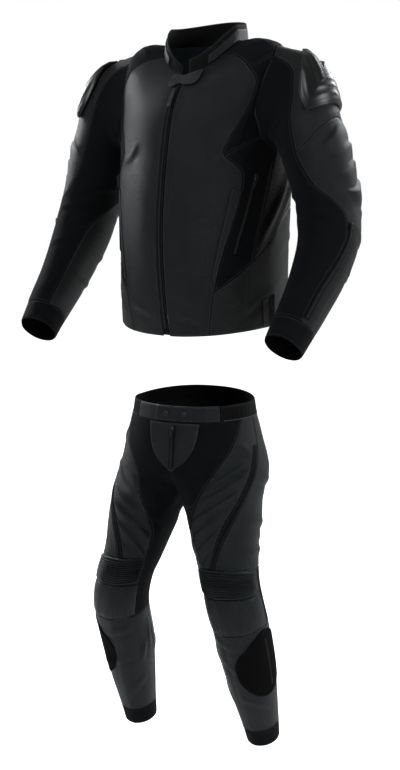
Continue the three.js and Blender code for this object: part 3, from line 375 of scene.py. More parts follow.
def put_mesh(name, points, faces, materials, flat=None, edge=None, inner=None):
    """A mesh object at the origin: points in metres, rows of face corners, a flat coordinate for each
    corner, each point's distance from the seam, and a mask of the faces that take the second material."""
    mesh = bpy.data.meshes.new(name)
    mesh.vertices.add(len(points))
    mesh.vertices.foreach_set("co", np.ascontiguousarray(points, np.float32).ravel())
    mesh.loops.add(faces.size)
    mesh.loops.foreach_set("vertex_index", np.ascontiguousarray(faces, np.int32).ravel())
    mesh.polygons.add(len(faces))
    mesh.polygons.foreach_set("loop_start", np.arange(len(faces), dtype=np.int32) * faces.shape[1])
    mesh.polygons.foreach_set("use_smooth", np.ones(len(faces), bool))
    for material in materials:
        mesh.materials.append(material)
    if inner is not None:
        mesh.polygons.foreach_set("material_index", inner.astype(np.int32))
    if flat is not None:
        mesh.uv_layers.new(name="flat").data.foreach_set("uv", flat.astype(np.float32).ravel())
    if edge is not None:
        mesh.attributes.new("edge", "FLOAT", "POINT").data.foreach_set("value", edge.astype(np.float32))
    mesh.update(calc_edges=True)
    piece = bpy.data.objects.new(name, mesh)
    bpy.context.scene.collection.objects.link(piece)
    return piece


def seam_distance(points, faces, reach=16, rounds=20):
    """Each point's distance from the edge of the cloth, up to reach, as the least sum of the lengths of
    the faces' sides and diagonals on the way there, and the directed sides of the edge itself."""
    sides = np.concatenate([faces[:, [n, (n + 1) % 4]] for n in range(4)])
    pair = np.sort(sides, axis=1)
    _, first, count = np.unique(pair @ [len(points), 1], return_index=True, return_counts=True)
    rim = sides[first[count == 1]]
    links = np.concatenate([pair[first], faces[:, [0, 2]], faces[:, [1, 3]]])
    length = np.linalg.norm(points[links[:, 0]] - points[links[:, 1]], axis=1)
    distance = np.full(len(points), float(reach))
    distance[rim] = 0
    for _ in range(rounds):
        np.minimum.at(distance, links[:, 0], distance[links[:, 1]] + length)
        np.minimum.at(distance, links[:, 1], distance[links[:, 0]] + length)
    return distance, rim


def seam_roll(distance, depth, width):
    """How far cloth turns in beside its edge: a quarter of an ellipse, `depth` deep and `width` wide."""
    return -depth * (1 - np.sqrt(1 - np.clip(1 - distance / width, 0, 1) ** 2))


def is_mirrored(world):
    """Whether a placing turns shapes inside out: the determinant of where it puts the three axes is
    negative."""
    return np.linalg.det(world(np.eye(3)) - world(np.zeros((3, 3)))) < 0


LEAST_FILL = 0.32


def put_cloth(name, world, point, normal, faces, corners, height, low, materials, slot, held="hung",
              roll=(1.4, 6)):
    """A closed piece of cloth or leather: its outer face stands `height` above the points and rolls in at
    the edge, its inner face lies at `low`, or 1.2 mm under the outer one in a deep fold, and a ring of
    faces joins the two at the rim. It stands for the part's own piece."""
    middle = np.cross(point[faces[:, 2]] - point[faces[:, 0]], point[faces[:, 3]] - point[faces[:, 1]])
    if (middle * normal[faces[:, 0]]).sum() < 0:
        faces, corners = faces[:, ::-1], corners[:, ::-1]
    distance, rim = seam_distance(point, faces)
    count = len(point)
    high = height + seam_roll(distance, *roll)
    inside = np.minimum(low, high - 1.2)
    solid = world(np.concatenate([point + normal * high[:, None], point + normal * inside[:, None]]))
    ring = np.stack([rim[:, 1], rim[:, 0], rim[:, 0] + count, rim[:, 1] + count], -1)
    flat_at = np.zeros((count, 2))
    flat_at[faces] = corners
    all_faces = np.concatenate([faces, faces[:, ::-1] + count, ring])
    flat = np.concatenate([corners, corners[:, ::-1], flat_at[ring % count]])
    if is_mirrored(world):
        all_faces, flat = all_faces[:, ::-1], flat[:, ::-1]
    piece = put_mesh(name + "_cloth", solid, all_faces, materials, flat * MM,
                     np.concatenate([distance, np.full(count, 16)]),
                     np.isin(np.arange(len(all_faces)) // len(faces), [1]))
    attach(piece, "suit")
    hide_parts(name)
    a, b, c, d = (point[faces[:, n]] for n in range(4))
    area = np.linalg.norm(np.cross(c - a, d - b), axis=1).sum() / 2
    width, length = np.ptp(corners.reshape(-1, 2), axis=0)
    # The trousers' two forked stretch panels fill less of their real rectangle than that, so their width
    # here is taken narrower than the cut; for all others it is the whole cut. The trousers' two forked
    # stretch panels fill less of their real rectangle than that, so their declared width is narrower
    # than the cut. Nothing reads this width.
    width = min(width, area / (LEAST_FILL * length))
    return piece


def cloth(name, sheet, blocks, materials, slot, relief=None, **more):
    """A panel cut from a sheet: the grid's faces inside the blocks (first column, last column, first row,
    last row), and what stands out of its outer face."""
    point, normal, flat, folds = sheet.grid
    middle_c = (sheet.columns[1:] + sheet.columns[:-1])[:, None] / 2
    middle_r = (sheet.rows[1:] + sheet.rows[:-1])[None, :] / 2
    inside = np.zeros((middle_c.size, middle_r.size), bool)
    for c0, c1, r0, r1 in blocks:
        inside |= (middle_c > c0) & (middle_c < c1) & (middle_r > r0) & (middle_r < r1)
    first_c, first_r = np.argmax(inside.any(axis=1)), np.argmax(inside.any(axis=0))
    flat = np.stack([flat[..., 0] - flat[first_c, :, 0], flat[..., 1] - flat[:, first_r:first_r + 1, 1]], -1)
    place = np.arange(folds.size).reshape(folds.shape)
    joined = place.copy()
    if sheet.wraps:
        joined[-1] = joined[0]
    corner = lambda g: np.stack([g[:-1, :-1], g[1:, :-1], g[1:, 1:], g[:-1, 1:]], -1)[inside]
    used, faces = np.unique(corner(joined), return_inverse=True)
    height = folds.ravel()[used]
    if relief:
        c, r = np.unravel_index(used, folds.shape)
        height = height + relief(sheet.columns[c], sheet.rows[r])
    return put_cloth(name, sheet.world, point.reshape(-1, 3)[used], normal.reshape(-1, 3)[used],
                     faces.reshape(-1, 4), flat.reshape(-1, 2)[corner(place)], height, -WALL, materials,
                     slot, **more)


def applied(name, sheet, place, across, along, low, high, materials, slot, mirror=1, **more):
    """A closed piece on a sheet, over a grid of places that are closer at the edges: place(s, t), with s
    and t from 0 to 1, gives points and normals, and the piece goes from low to high(s, t) over them."""
    u, v = (np.linspace(0, 1, n + 1) for n in (across, along))
    u, v = (x + (1 - np.cos(math.pi * x)) / 2 for x in (u, v))
    s, t = np.meshgrid(u / 2, v / 2, indexing="ij")
    point, normal = place(s, t)
    flat = flat_places(point).reshape(-1, 2)
    index = np.arange(s.size).reshape(s.shape)
    faces = np.stack([index[:-1, :-1], index[1:, :-1], index[1:, 1:], index[:-1, 1:]], -1).reshape(-1, 4)
    height = high(s, t) if callable(high) else np.full(s.shape, float(high))
    return put_cloth(name, lambda p: sheet.world(p * [mirror, 1, 1]), point.reshape(-1, 3),
                     normal.reshape(-1, 3),
                     faces, flat[faces], height.ravel(), low, materials, slot, **more)


def band(sheet, path, half_width):
    """Places on a band that follows a path of (column, row) pairs over a sheet's folds."""
    path = np.array(path, float)
    knots = np.linspace(0, 1, len(path))
    at = lambda t: sheet.surface(np.interp(t, knots, path[:, 0]), np.interp(t, knots, path[:, 1]))
    def place(s, t):
        point, normal = at(t)
        way = unit(at(np.minimum(t + 0.02, 1))[0] - at(np.maximum(t - 0.02, 0))[0])
        side = unit(np.cross(way, normal))
        return point + side * ((2 * s - 1) * half_width(t))[..., None], normal
    return place


def joined(name, world, shape, point, along, normal, material, slot, body_name="suit"):
    """Copies of a small shape as one mesh: x runs along the row, y across it and z out of it. shape is
    (points, faces), in millimetres."""
    points, faces = shape
    axes = np.stack([along, np.cross(normal, along), normal], 1)
    placed = point[:, None] + np.einsum("vk,nkx->nvx", points, axes)
    many = faces[None] + len(points) * np.arange(len(point))[:, None, None]
    if is_mirrored(world):
        many = many[..., ::-1]
    piece = put_mesh(name, world(placed.reshape(-1, 3)), many.reshape(-1, faces.shape[1]), [material])
    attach(piece, body_name)
    return piece


def spindle(length, radius, sides=4, ends=0.3):
    """A thread's float: sections at both ends and at a third from each, thin at the ends."""
    turn = 2 * math.pi * (np.arange(sides) + 0.5) / sides
    rings = [(-0.5, ends), (-0.3, 1), (0.3, 1), (0.5, ends)]
    points = np.array([(x * length, r * radius * math.cos(a), r * radius * math.sin(a)) for x,
                       r in rings for a in turn])
    faces = [(k * sides + n, k * sides + (n + 1) % sides, (k + 1) * sides + (n + 1) % sides,
              (k + 1) * sides + n)
             for k in range(3) for n in range(sides)]
    return points, np.array(faces)[:, ::-1]


def block_shape(x, y, z, rise=0.0, taper=1.0):
    """A box, x by y by z, from `rise` up, whose top is `taper` times its foot."""
    foot = np.array([(-1, -1), (1, -1), (1, 1), (-1, 1)]) / 2
    points = np.concatenate([np.c_[foot * (x, y), np.full(4, rise)],
                             np.c_[foot * (x, y) * taper, np.full(4, rise + z)]])
    return points, np.array([(3, 2, 1, 0), (4, 5, 6, 7), (0, 1, 5, 4), (1, 2, 6, 5), (2, 3, 7, 6),
                             (3, 0, 4, 7)])


def several(*shapes):
    """Shapes as one, each moved by its own (x, y, z)."""
    points, faces, count = [], [], 0
    for (p, f), shift in shapes:
        points.append(p + np.array(shift, float))
        faces.append(f + count)
        count += len(p)
    return np.concatenate(points), np.concatenate(faces)


def spaced(line, normal, pitch):
    """Places at a pitch along a line of points, with its directions and normals there."""
    step = np.linalg.norm(np.diff(line, axis=0), axis=1)
    run = np.concatenate([[0], np.cumsum(step)])
    at = np.arange(pitch / 2, run[-1], pitch)
    point, out = (np.stack([np.interp(at, run, v[:, k]) for k in range(3)], -1) for v in (line, normal))
    ahead = np.stack([np.interp(at + 0.5, run, line[:, k]) for k in range(3)], -1)
    along = unit(ahead - point + 1e-9)
    out = unit(out - along * (out * along).sum(-1, keepdims=True))
    return point, along, out


def unit(vector):
    return vector / np.maximum(np.linalg.norm(vector, axis=-1, keepdims=True), 1e-9)


def seam_stitches(name, sheet, lines, material, slot, gap=4.0, pitch=4.2, out=0.25, thick=0.4):
    """Rows of stitches on both sides of seams: each line goes from a (column, row) to another, and `gap`
    is how far a row lies from the seam. A float is two thirds of the pitch."""
    rows = []
    for start, end in lines:
        t = np.linspace(0, 1, 240)
        line, normal = sheet.at(start[0] + (end[0] - start[0]) * t, start[1] + (end[1] - start[1]) * t)
        way = unit(np.gradient(line, axis=0))
        for side in (-gap, gap):
            moved = line + np.cross(way, normal) * side
            rise = sheet.relief(moved, normal) + seam_roll(gap, 1.4, 6) + out
            rows.append(spaced(moved + normal * rise[:, None], normal, pitch))
    point, along, normal = (np.concatenate([row[k] for row in rows]) for k in range(3))
    return joined(name, sheet.world, spindle(0.67 * pitch, thick), point, along, normal, material, slot)


def node(tree, kind, settings=None, **inputs):
    """A shader node with its settings, and a value or another node's output on its inputs. An input is
    named with _ for a space, or with i and its number."""
    made = tree.nodes.new("ShaderNode" + kind)
    for key, value in (settings or {}).items():
        setattr(made, key, value)
    for key, value in inputs.items():
        socket = made.inputs[int(key[1:])] if key[1:].isdigit() else made.inputs[key.replace("_", " ")]
        if isinstance(value, bpy.types.NodeSocket):
            tree.links.new(value, socket)
        else:
            socket.default_value = value
    return made


def shader_group(name, inputs, outputs):
    """An empty group of shader nodes, with its own inputs' and outputs' sockets."""
    group = bpy.data.node_groups.new(name, "ShaderNodeTree")
    for label, kind in inputs.items():
        group.interface.new_socket(label, in_out="INPUT", socket_type="NodeSocket" + kind)
    for label, kind in outputs.items():
        group.interface.new_socket(label, in_out="OUTPUT", socket_type="NodeSocket" + kind)
    return group, group.nodes.new("NodeGroupInput").outputs, group.nodes.new("NodeGroupOutput").inputs


def math_node(tree, operation, *values):
    """The output of one math node."""
    return node(tree, "Math", {"operation": operation},
                **{f"i{n}": v for n, v in enumerate(values)}).outputs[0]


def ramp(tree, value, low, high, start=0.0, end=1.0):
    """A value's place between low and high, as a smooth step from start to end."""
    return node(tree, "MapRange", {"interpolation_type": "SMOOTHSTEP"}, Value=value, From_Min=low,
                From_Max=high,
                To_Min=start, To_Max=end).outputs[0]


def scaled(tree, colour, factor):
    """A colour times a factor."""
    return node(tree, "VectorMath", {"operation": "SCALE"}, i0=colour, Scale=factor).outputs[0]


GRAIN, inside, outside = shader_group(
    "leather_grain", {"Place": "Vector", "Tone": "Color"},
                                      {"Tone": "Color", "Height": "Float", "Dull": "Float"})
pebbles = node(GRAIN, "TexVoronoi", {"feature": "DISTANCE_TO_EDGE"}, Vector=inside["Place"], Scale=520.0)
creases = node(GRAIN, "TexNoise", Vector=inside["Place"], Scale=240.0, Detail=4.0,
               Roughness=0.6).outputs["Fac"]
clouds = node(GRAIN, "TexNoise", Vector=inside["Place"], Scale=14.0, Detail=3.0).outputs["Fac"]
pebble = ramp(GRAIN, pebbles.outputs["Distance"], 0.0, 0.16)
GRAIN.links.new(math_node(GRAIN, "MULTIPLY_ADD", creases, 2.0, math_node(GRAIN, "MULTIPLY", pebble, 0.5)),
                outside["Height"])
GRAIN.links.new(ramp(GRAIN, creases, 0.35, 0.65, -0.08, 0.1), outside["Dull"])
GRAIN.links.new(scaled(GRAIN, scaled(GRAIN, inside["Tone"], ramp(GRAIN, clouds, 0.25, 0.75, 0.75, 1.25)),
                       ramp(GRAIN, creases, 0.35, 0.65, 0.6, 1.5)), outside["Tone"])

HOLES, inside, outside = shader_group("punched_holes", {"Place": "Vector", "Pitch": "Float"},
                                      {"Mask": "Float"})
spread = node(HOLES, "VectorMath", {"operation": "DIVIDE"}, i0=inside["Place"]).outputs[0]
pitch = node(HOLES, "CombineXYZ", X=inside["Pitch"], Y=math_node(HOLES, "MULTIPLY", inside["Pitch"], 1.732),
             Z=1.0)
HOLES.links.new(pitch.outputs[0], spread.node.inputs[1])
nearest = []
for shift in (0.0, 0.5):
    moved = node(HOLES, "VectorMath", {"operation": "ADD"}, i0=spread, i1=(shift, shift, 0.0)).outputs[0]
    cell = node(HOLES, "VectorMath", {"operation": "FRACTION"}, i0=moved).outputs[0]
    cell = node(HOLES, "VectorMath", {"operation": "MULTIPLY_ADD"}, i0=cell, i1=(1.0, 1.732, 0.0),
                i2=(-0.5, -0.866, 0.0)).outputs[0]
    nearest.append(node(HOLES, "VectorMath", {"operation": "LENGTH"}, i0=cell).outputs["Value"])
HOLES.links.new(ramp(HOLES, math_node(HOLES, "MINIMUM", *nearest), 0.14, 0.22, 1.0, 0.0), outside["Mask"])

# Seam marks: painted shade darkens the colour to 35% right at each seam line. A band 1 to 4.6 mm from the seam
# is lightened up to 3.2 times and made a little glossier, partly as rubbed wear and partly as a painted
# highlight on the rolled edge.
SEAM, inside, outside = shader_group("seam_wear_and_painted_light", {"Tone": "Color"}, {"Tone": "Color", "Gloss": "Float"})
from_seam = node(SEAM, "Attribute", {"attribute_name": "edge"}).outputs["Fac"]
# Painted shade in the seam line.
crease = ramp(SEAM, from_seam, 0.2, 1.6, 0.35, 1.0)
# Rubbed wear and a painted highlight beside the seam.
wear_and_painted_highlight = math_node(SEAM, "MULTIPLY", ramp(SEAM, from_seam, 1.0, 2.0),
                   ramp(SEAM, from_seam, 2.6, 4.6, 1.0, 0.0))
SEAM.links.new(scaled(SEAM, inside["Tone"], math_node(SEAM, "MULTIPLY_ADD", wear_and_painted_highlight, 2.2, crease)),
               outside["Tone"])
SEAM.links.new(math_node(SEAM, "MULTIPLY", wear_and_painted_highlight, 0.08), outside["Gloss"])


def leather(name, tone, rough, coat=0.0, pitch=0.0, bump=0.0012):
    """Leather: a grained and slightly worn surface, with painted shade along its seam lines and a painted
    highlight beside them, and a hexagonal grid of punched holes at a pitch in metres."""
    material = bpy.data.materials.new(name)
    material.use_nodes = True
    tree = material.node_tree
    place = node(tree, "UVMap", {"uv_map": "flat"}).outputs["UV"]
    grain = node(tree, "Group", {"node_tree": GRAIN}, Place=place, Tone=(*tone, 1)).outputs
    # The seam group's tone carries painted shade at the seams and a painted highlight beside them.
    seam = node(tree, "Group", {"node_tree": SEAM}, Tone=grain["Tone"]).outputs
    height, colour = grain["Height"], seam["Tone"]
    if pitch:
        holes = node(tree, "Group", {"node_tree": HOLES}, Place=place, Pitch=pitch).outputs["Mask"]
        height = math_node(tree, "MULTIPLY_ADD", holes, -1.5, height)
        colour = scaled(tree, colour, ramp(tree, holes, 0.0, 1.0, 1.0, 0.3))
    shader = tree.nodes["Principled BSDF"]
    tree.links.new(colour, shader.inputs["Base Color"])
    dull = math_node(tree, "ADD", math_node(tree, "SUBTRACT", rough, seam["Gloss"]), grain["Dull"])
    tree.links.new(dull, shader.inputs["Roughness"])
    tree.links.new(node(tree, "Bump", Height=height, Distance=bump, Strength=0.6).outputs[0],
                   shader.inputs["Normal"])
    shader.inputs["Specular IOR Level"].default_value = 0.28
    shader.inputs["Coat Weight"].default_value = coat
    shader.inputs["Coat Roughness"].default_value = 0.25
    return material


def knit(name, tone, rough, pitch, sheen=0.15, bump=0.0004):
    """Knitted cloth: fine ribs at a pitch in metres along its flat length, broken up across it, with a
    soft sheen."""
    material = bpy.data.materials.new(name)
    material.use_nodes = True
    tree = material.node_tree
    place = node(tree, "UVMap", {"uv_map": "flat"}).outputs["UV"]
    split = node(tree, "SeparateXYZ", i0=place).outputs
    across = math_node(tree, "SINE", math_node(tree, "MULTIPLY", split["X"], 2 * math.pi / pitch))
    along = math_node(tree, "SINE", math_node(tree, "MULTIPLY", split["Y"], 1.3 * math.pi / pitch))
    fuzz = node(tree, "TexNoise", Vector=place, Scale=500.0, Detail=3.0).outputs["Fac"]
    height = math_node(tree, "MULTIPLY_ADD", fuzz, 0.8, math_node(tree, "MULTIPLY", across, along))
    # The seam group paints shade at the seam lines and a highlight beside them, as on the leather.
    seam = node(tree, "Group", {"node_tree": SEAM}, Tone=(*tone, 1)).outputs["Tone"]
    clouds = node(tree, "TexNoise", Vector=place, Scale=25.0, Detail=3.0).outputs["Fac"]
    shader = tree.nodes["Principled BSDF"]
    tree.links.new(scaled(tree, scaled(tree, seam, ramp(tree, clouds, 0.3, 0.7, 0.88, 1.12)),
                          ramp(tree, height, -0.8, 1.4, 0.75, 1.15)), shader.inputs["Base Color"])
    tree.links.new(node(tree, "Bump", Height=height, Distance=bump, Strength=0.5).outputs[0],
                   shader.inputs["Normal"])
    for key, value in {"Roughness": rough, "Sheen Weight": sheen, "Sheen Roughness": 0.4,
                       "Specular IOR Level": 0.1}.items():
        shader.inputs[key].default_value = value
    return material


def plain(name, tone, rough, metallic=0.0):
    """A smooth finish with no pattern."""
    material = bpy.data.materials.new(name)
    material.use_nodes = True
    shader = material.node_tree.nodes["Principled BSDF"]
    for key, value in {"Base Color": (*tone, 1), "Roughness": rough, "Metallic": metallic}.items():
        shader.inputs[key].default_value = value
    return material


mesh_lining = knit("grey_mesh_lining", (0.10, 0.125, 0.14), 0.9, 0.0024, sheen=0.0, bump=0.001)
front_leather = leather("perforated_leather", (0.0085, 0.0089, 0.0104), 0.46, pitch=0.0032)
BODY_FOLDS = [
    dict(start=(1.2, 6.5), end=(4.2, 7.6), bow=0.3, width=10, height=1.6),
    dict(start=(1.0, 2.6), end=(4.4, 1.4), bow=0.3, width=9, height=1.6),
    dict(start=(2.2, 11.8), end=(4.8, 13.4), bow=-0.4, width=9, height=1.4),
    dict(start=(3.6, 9.6), end=(4.9, 11.2), bow=0.2, width=7, height=2.0),
    dict(start=(29.2, 9.4), end=(31.5, 11.0), bow=0.3, width=8, height=2.0),
    dict(start=(29.4, 3.2), end=(33.0, 2.4), bow=0.4, width=9, height=1.8),
    dict(start=(5.8, 10.3), end=(6.0, 13.6), bow=0.35, width=6, height=2.6),
    dict(start=(6.8, 10.6), end=(6.7, 14.4), bow=0.3, width=6, height=2.4),
    dict(start=(7.5, 10.2), end=(7.4, 12.6), bow=0.2, width=5, height=2.2),
    dict(start=(27.9, 10.3), end=(28.1, 13.8), bow=-0.3, width=6, height=2.6),
    dict(start=(26.9, 10.5), end=(27.2, 13.2), bow=-0.2, width=6, height=2.2),
    dict(start=(5.4, 9.3), end=(8.4, 9.9), bow=0.1, width=7, height=2.2),
    dict(start=(5.6, 5.0), end=(8.8, 5.8), bow=0.1, width=8, height=1.8),
    dict(start=(25.2, 8.6), end=(28.4, 8.0), bow=0.1, width=8, height=2.0),
    dict(start=(10.2, 4.4), end=(11.6, 9.4), bow=0.25, width=11, height=7.0),
    dict(start=(10.9, 4.3), end=(13.0, 8.2), bow=0.3, width=12, height=7.0),
    dict(start=(12.2, 4.6), end=(14.2, 7.6), bow=0.3, width=12, height=5.0),
    dict(start=(12.6, 10.6), end=(14.8, 13.4), bow=0.4, width=10, height=3.0),
    dict(start=(21.8, 9.8), end=(19.6, 7.2), bow=0.4, width=11, height=3.2),
    dict(start=(23.6, 5.0), end=(21.2, 8.4), bow=-0.4, width=8, height=3.8),
    dict(start=(14.0, 6.0), end=(20.6, 6.6), bow=0.2, width=12, height=2.8),
    dict(start=(14.5, 5.0), end=(19.2, 4.7), bow=0.2, width=9, height=2.2),
    dict(start=(5.6, 2.7), end=(9.0, 2.2), bow=0.2, width=8, height=2.0),
    dict(start=(7.4, 1.2), end=(11.8, 1.8), bow=0.2, width=8, height=2.0),
    dict(start=(11.2, 2.9), end=(16.0, 2.5), bow=0.2, width=9, height=2.2),
    dict(start=(24.0, 2.6), end=(28.0, 1.7), bow=0.2, width=9, height=2.2),
    dict(start=(6.2, 17.2), end=(8.8, 16.2), bow=0.2, width=9, height=1.8),
    dict(start=(25.4, 16.6), end=(27.8, 17.4), bow=0.2, width=9, height=1.8),
]
body = Sheet(padded_lattice(body_lattice(), False),
             ({0, 5, 8, 10, 12, 17, 22, 24, 26, 29, 34}, {0, 4, 10, 15, 19}),
             turn=JACKET_TURN, folds=BODY_FOLDS, seed=3)
TWIN = 2 * CENTRE_BACK


def body_pair(name, blocks, materials, slot, **more):
    """A panel of the body and its twin on the wearer's right."""
    cloth(name + "_l", body, blocks, materials, slot, **more)
    cloth(name + "_r", body, [(TWIN - b, TWIN - a, r0, r1) for a, b, r0, r1 in blocks], materials, slot,
          **more)


body_pair("front", [(0, FRONT, 0, NECK)], [front_leather, mesh_lining], "perforated_leather")

# Stretch cloth: a panel over each side with the pocket, one from the chest to the armhole, and a yoke on each
# shoulder. It is matt, finely ribbed and darker than the leather.
stretch_cloth = knit("stretch_cloth", (0.005, 0.0055, 0.0068), 0.8, 0.0016, sheen=0.03)
body_pair("side_stretch", [(FRONT, SIDE, WAIST_SEAM, ARMPIT)], [stretch_cloth, mesh_lining], "stretch_cloth",
          roll=(0.8, 4))
body_pair("chest_stretch", [(FRONT, ARMHOLE_FRONT, ARMPIT, SHOULDER)], [stretch_cloth, stretch_cloth],
          "stretch_cloth", roll=(0.8, 4))
body_pair("yoke", [(FRONT, ARMHOLE_BACK, SHOULDER, NECK)], [stretch_cloth, mesh_lining], "stretch_cloth")

# Waist and back leather: a panel round each side of the waist and one back, glossier than the fronts and
# creased.
jacket_leather = leather("jacket_leather", (0.006, 0.0062, 0.007), 0.42)
glossy_leather = leather("glossy_leather", (0.003, 0.0032, 0.0038), 0.32, coat=0.15, bump=0.0002)
body_pair("waist_panel", [(FRONT, CENTRE_BACK, 0, WAIST_SEAM)], [jacket_leather, mesh_lining],
          "jacket_leather")
cloth("back", body,
      [(SIDE, TWIN - SIDE, WAIST_SEAM, ARMPIT), (ARMHOLE_BACK, TWIN - ARMHOLE_BACK, ARMPIT, NECK)],
      [glossy_leather, mesh_lining], "jacket_leather")

# Sleeves: leather over the shoulder and round the outside, stretch cloth inside, five pleats at the elbow
# and a cuff. Each starts on the armhole's own line and follows the arm through rings square to it.
ARM = table(
    "along x y z wide deep",
    [0.34, 292, 0, -250, 74, 80],
    [0.48, 315, 0, -318, 71, 77],
    [0.62, 334, -6, -388, 69, 74],
    [0.75, 346, -32, -466, 65, 69],
    [0.88, 345, -102, -563, 54, 57],
    [0.95, 342, -155, -622, 48, 50],
    [1.0, 338, -196, -668, 44, 46],
)
SLEEVE_SEAMS = table(
    "along front back",
    [0.0, 62, -120], [0.12, 75, -114], [0.24, 88, -112], [0.36, 92, -114], [0.48, 84, -130],
    [0.57, 65, -172], [0.66, 30, -207], [0.76, 25, -221], [0.88, 39, -227], [1.0, 40, -230],
)
SLEEVE_BACK, UPPER_END, PLEATS_END, CUFF_START, CUFF_END = 9, 4, 9, 13, 14
CAP_END = 0.34
ARMHOLE = np.array([
    *((c, SHOULDER) for c in (8, 9, 10, 11)), *((ARMHOLE_BACK, r) for r in (15, 14, 13, 12, 11)),
    *((c, ARMPIT) for c in (12, 11, 10, 9)), *((ARMHOLE_FRONT, r) for r in (10, 11, 12, 13, 14, 15)),
])


def arm_ring(column, along):
    """Points of the arm's rings: the middle, plus wide times the cosine outwards and deep times the sine
    forwards."""
    at = lambda where: np.stack([read(ARM, key, where) for key in "xyz"], -1)
    down = unit(at(np.minimum(1, along + 0.03)) - at(np.maximum(CAP_END, along - 0.03)))
    out = unit([1, 0, 0] - down * down[..., :1])
    front, back = read(SLEEVE_SEAMS, "front", along), read(SLEEVE_SEAMS, "back", along)
    share = column / SLEEVE_BACK
    angle = RAD * np.where(share <= 1, front + (back - front) * share,
                           back + (front - 360 - back) * (share - 1))
    wide, deep = read(ARM, "wide", along) * np.cos(angle), read(ARM, "deep", along) * np.sin(angle)
    return at(along) + out * wide[..., None] + np.cross(down, out) * deep[..., None], down


def sleeve_lattice():
    """The sleeve's lattice points. Down to CAP_END a column is the cubic from the armhole's point to the
    first ring, and it leaves outwards at the top of the shoulder and more downwards under the arm."""
    column, row = np.meshgrid(np.arange(2 * SLEEVE_BACK + 1), np.arange(CUFF_END + 1), indexing="ij")
    seam = 0.36 - 0.06 * np.maximum(0, np.cos((column - 4.5) / 9 * math.pi))
    keyed = np.stack([0 * seam, seam, 0 * seam + 0.66, 0 * seam + 0.96, 0 * seam + 1])
    weights = step_weights([0, UPPER_END, PLEATS_END, CUFF_START, CUFF_END], row[0])
    along = np.einsum("rk,kcr->cr", weights, keyed)
    start = body.lattice[ARMHOLE[:, 0] + 1, ARMHOLE[:, 1] + 1][:, None]
    end, arrive = arm_ring(column, np.full(along.shape, CAP_END))
    top = (1 + np.cos((column - 2) / 9 * math.pi)) / 2
    leave = np.stack([0.45 + 0.53 * top, 0 * top, -0.9 + 0.72 * top], -1)
    reach = (np.linalg.norm(end - start, axis=-1) * (1.15 + 0.3 * top))[..., None]
    t = np.clip(along / CAP_END, 0, 1)[..., None]
    cap = (start * (2 * t**3 - 3 * t**2 + 1) + leave * reach * (t**3 - 2 * t**2 + t)
           + end * (3 * t**2 - 2 * t**3) + arrive * reach * (t**3 - t**2))
    rings, _ = arm_ring(column, np.maximum(along, CAP_END))
    return np.where(along[..., None] >= CAP_END, rings, cap)


def seated_on_armhole(lattice):
    """A function that moves the sleeve's first row onto the body's own line and fades out by row 1.5."""
    def fit(column, row):
        place = np.stack([np.interp(column, np.arange(len(ARMHOLE)), ARMHOLE[:, k]) for k in (0, 1)], -1)
        weights, _ = spline_weights(len(ARMHOLE), column)
        own = np.einsum("...c,ck->...k", weights, lattice[:, 1])
        fade = np.clip(1 - row / 1.5, 0, 1) ** 2
        return (body.at(place[..., 0], place[..., 1])[0] - own) * fade[..., None]
    return fit


def pleats(column, row):
    """Pleats across the outside of the elbow: pads 6 mm high, each steep at its top and falling to the
    slanted crease above the next one."""
    across = np.clip((column - 1.4) / 1.2, 0, 1) * np.clip((SLEEVE_BACK - column) / 2, 0, 1)
    bent = row - UPPER_END + 0.2 * (column - 4.5) + 0.1 * np.sin(1.7 * column)
    part = bent - np.floor(bent)
    rise = np.clip(part / 0.22, 0, 1)
    wave = rise**2 * (3 - 2 * rise) * (1 - part) ** 0.8 * 1.25 * (0.85 + 0.15 * np.sin(2.3 * np.floor(bent) + 1))
    inside = np.clip((row - UPPER_END) / 0.6, 0, 1) * np.clip((PLEATS_END - row) / 0.6, 0, 1)
    return 6 * across**2 * (3 - 2 * across) * wave * inside


def placket(column, row):
    """The pleats, and below them a strip beside the forearm's zip that stands 1.8 mm out."""
    strip = np.clip((column - 0.62) / 0.1, 0, 1) * np.clip((1.35 - column) / 0.06, 0, 1)
    return pleats(column, row) + 1.8 * strip * np.clip((row - 9.6) / 0.4, 0, 1)


def shoulder_pad(column, row):
    """The dome under the shoulder slider: 5 mm high, and wider than the slider by a fifth."""
    edge = np.hypot((column - 3.7) / 3.6, (row - 2.2) / 1.75)
    return 4.5 * np.clip(1 - edge**4, 0, 1)


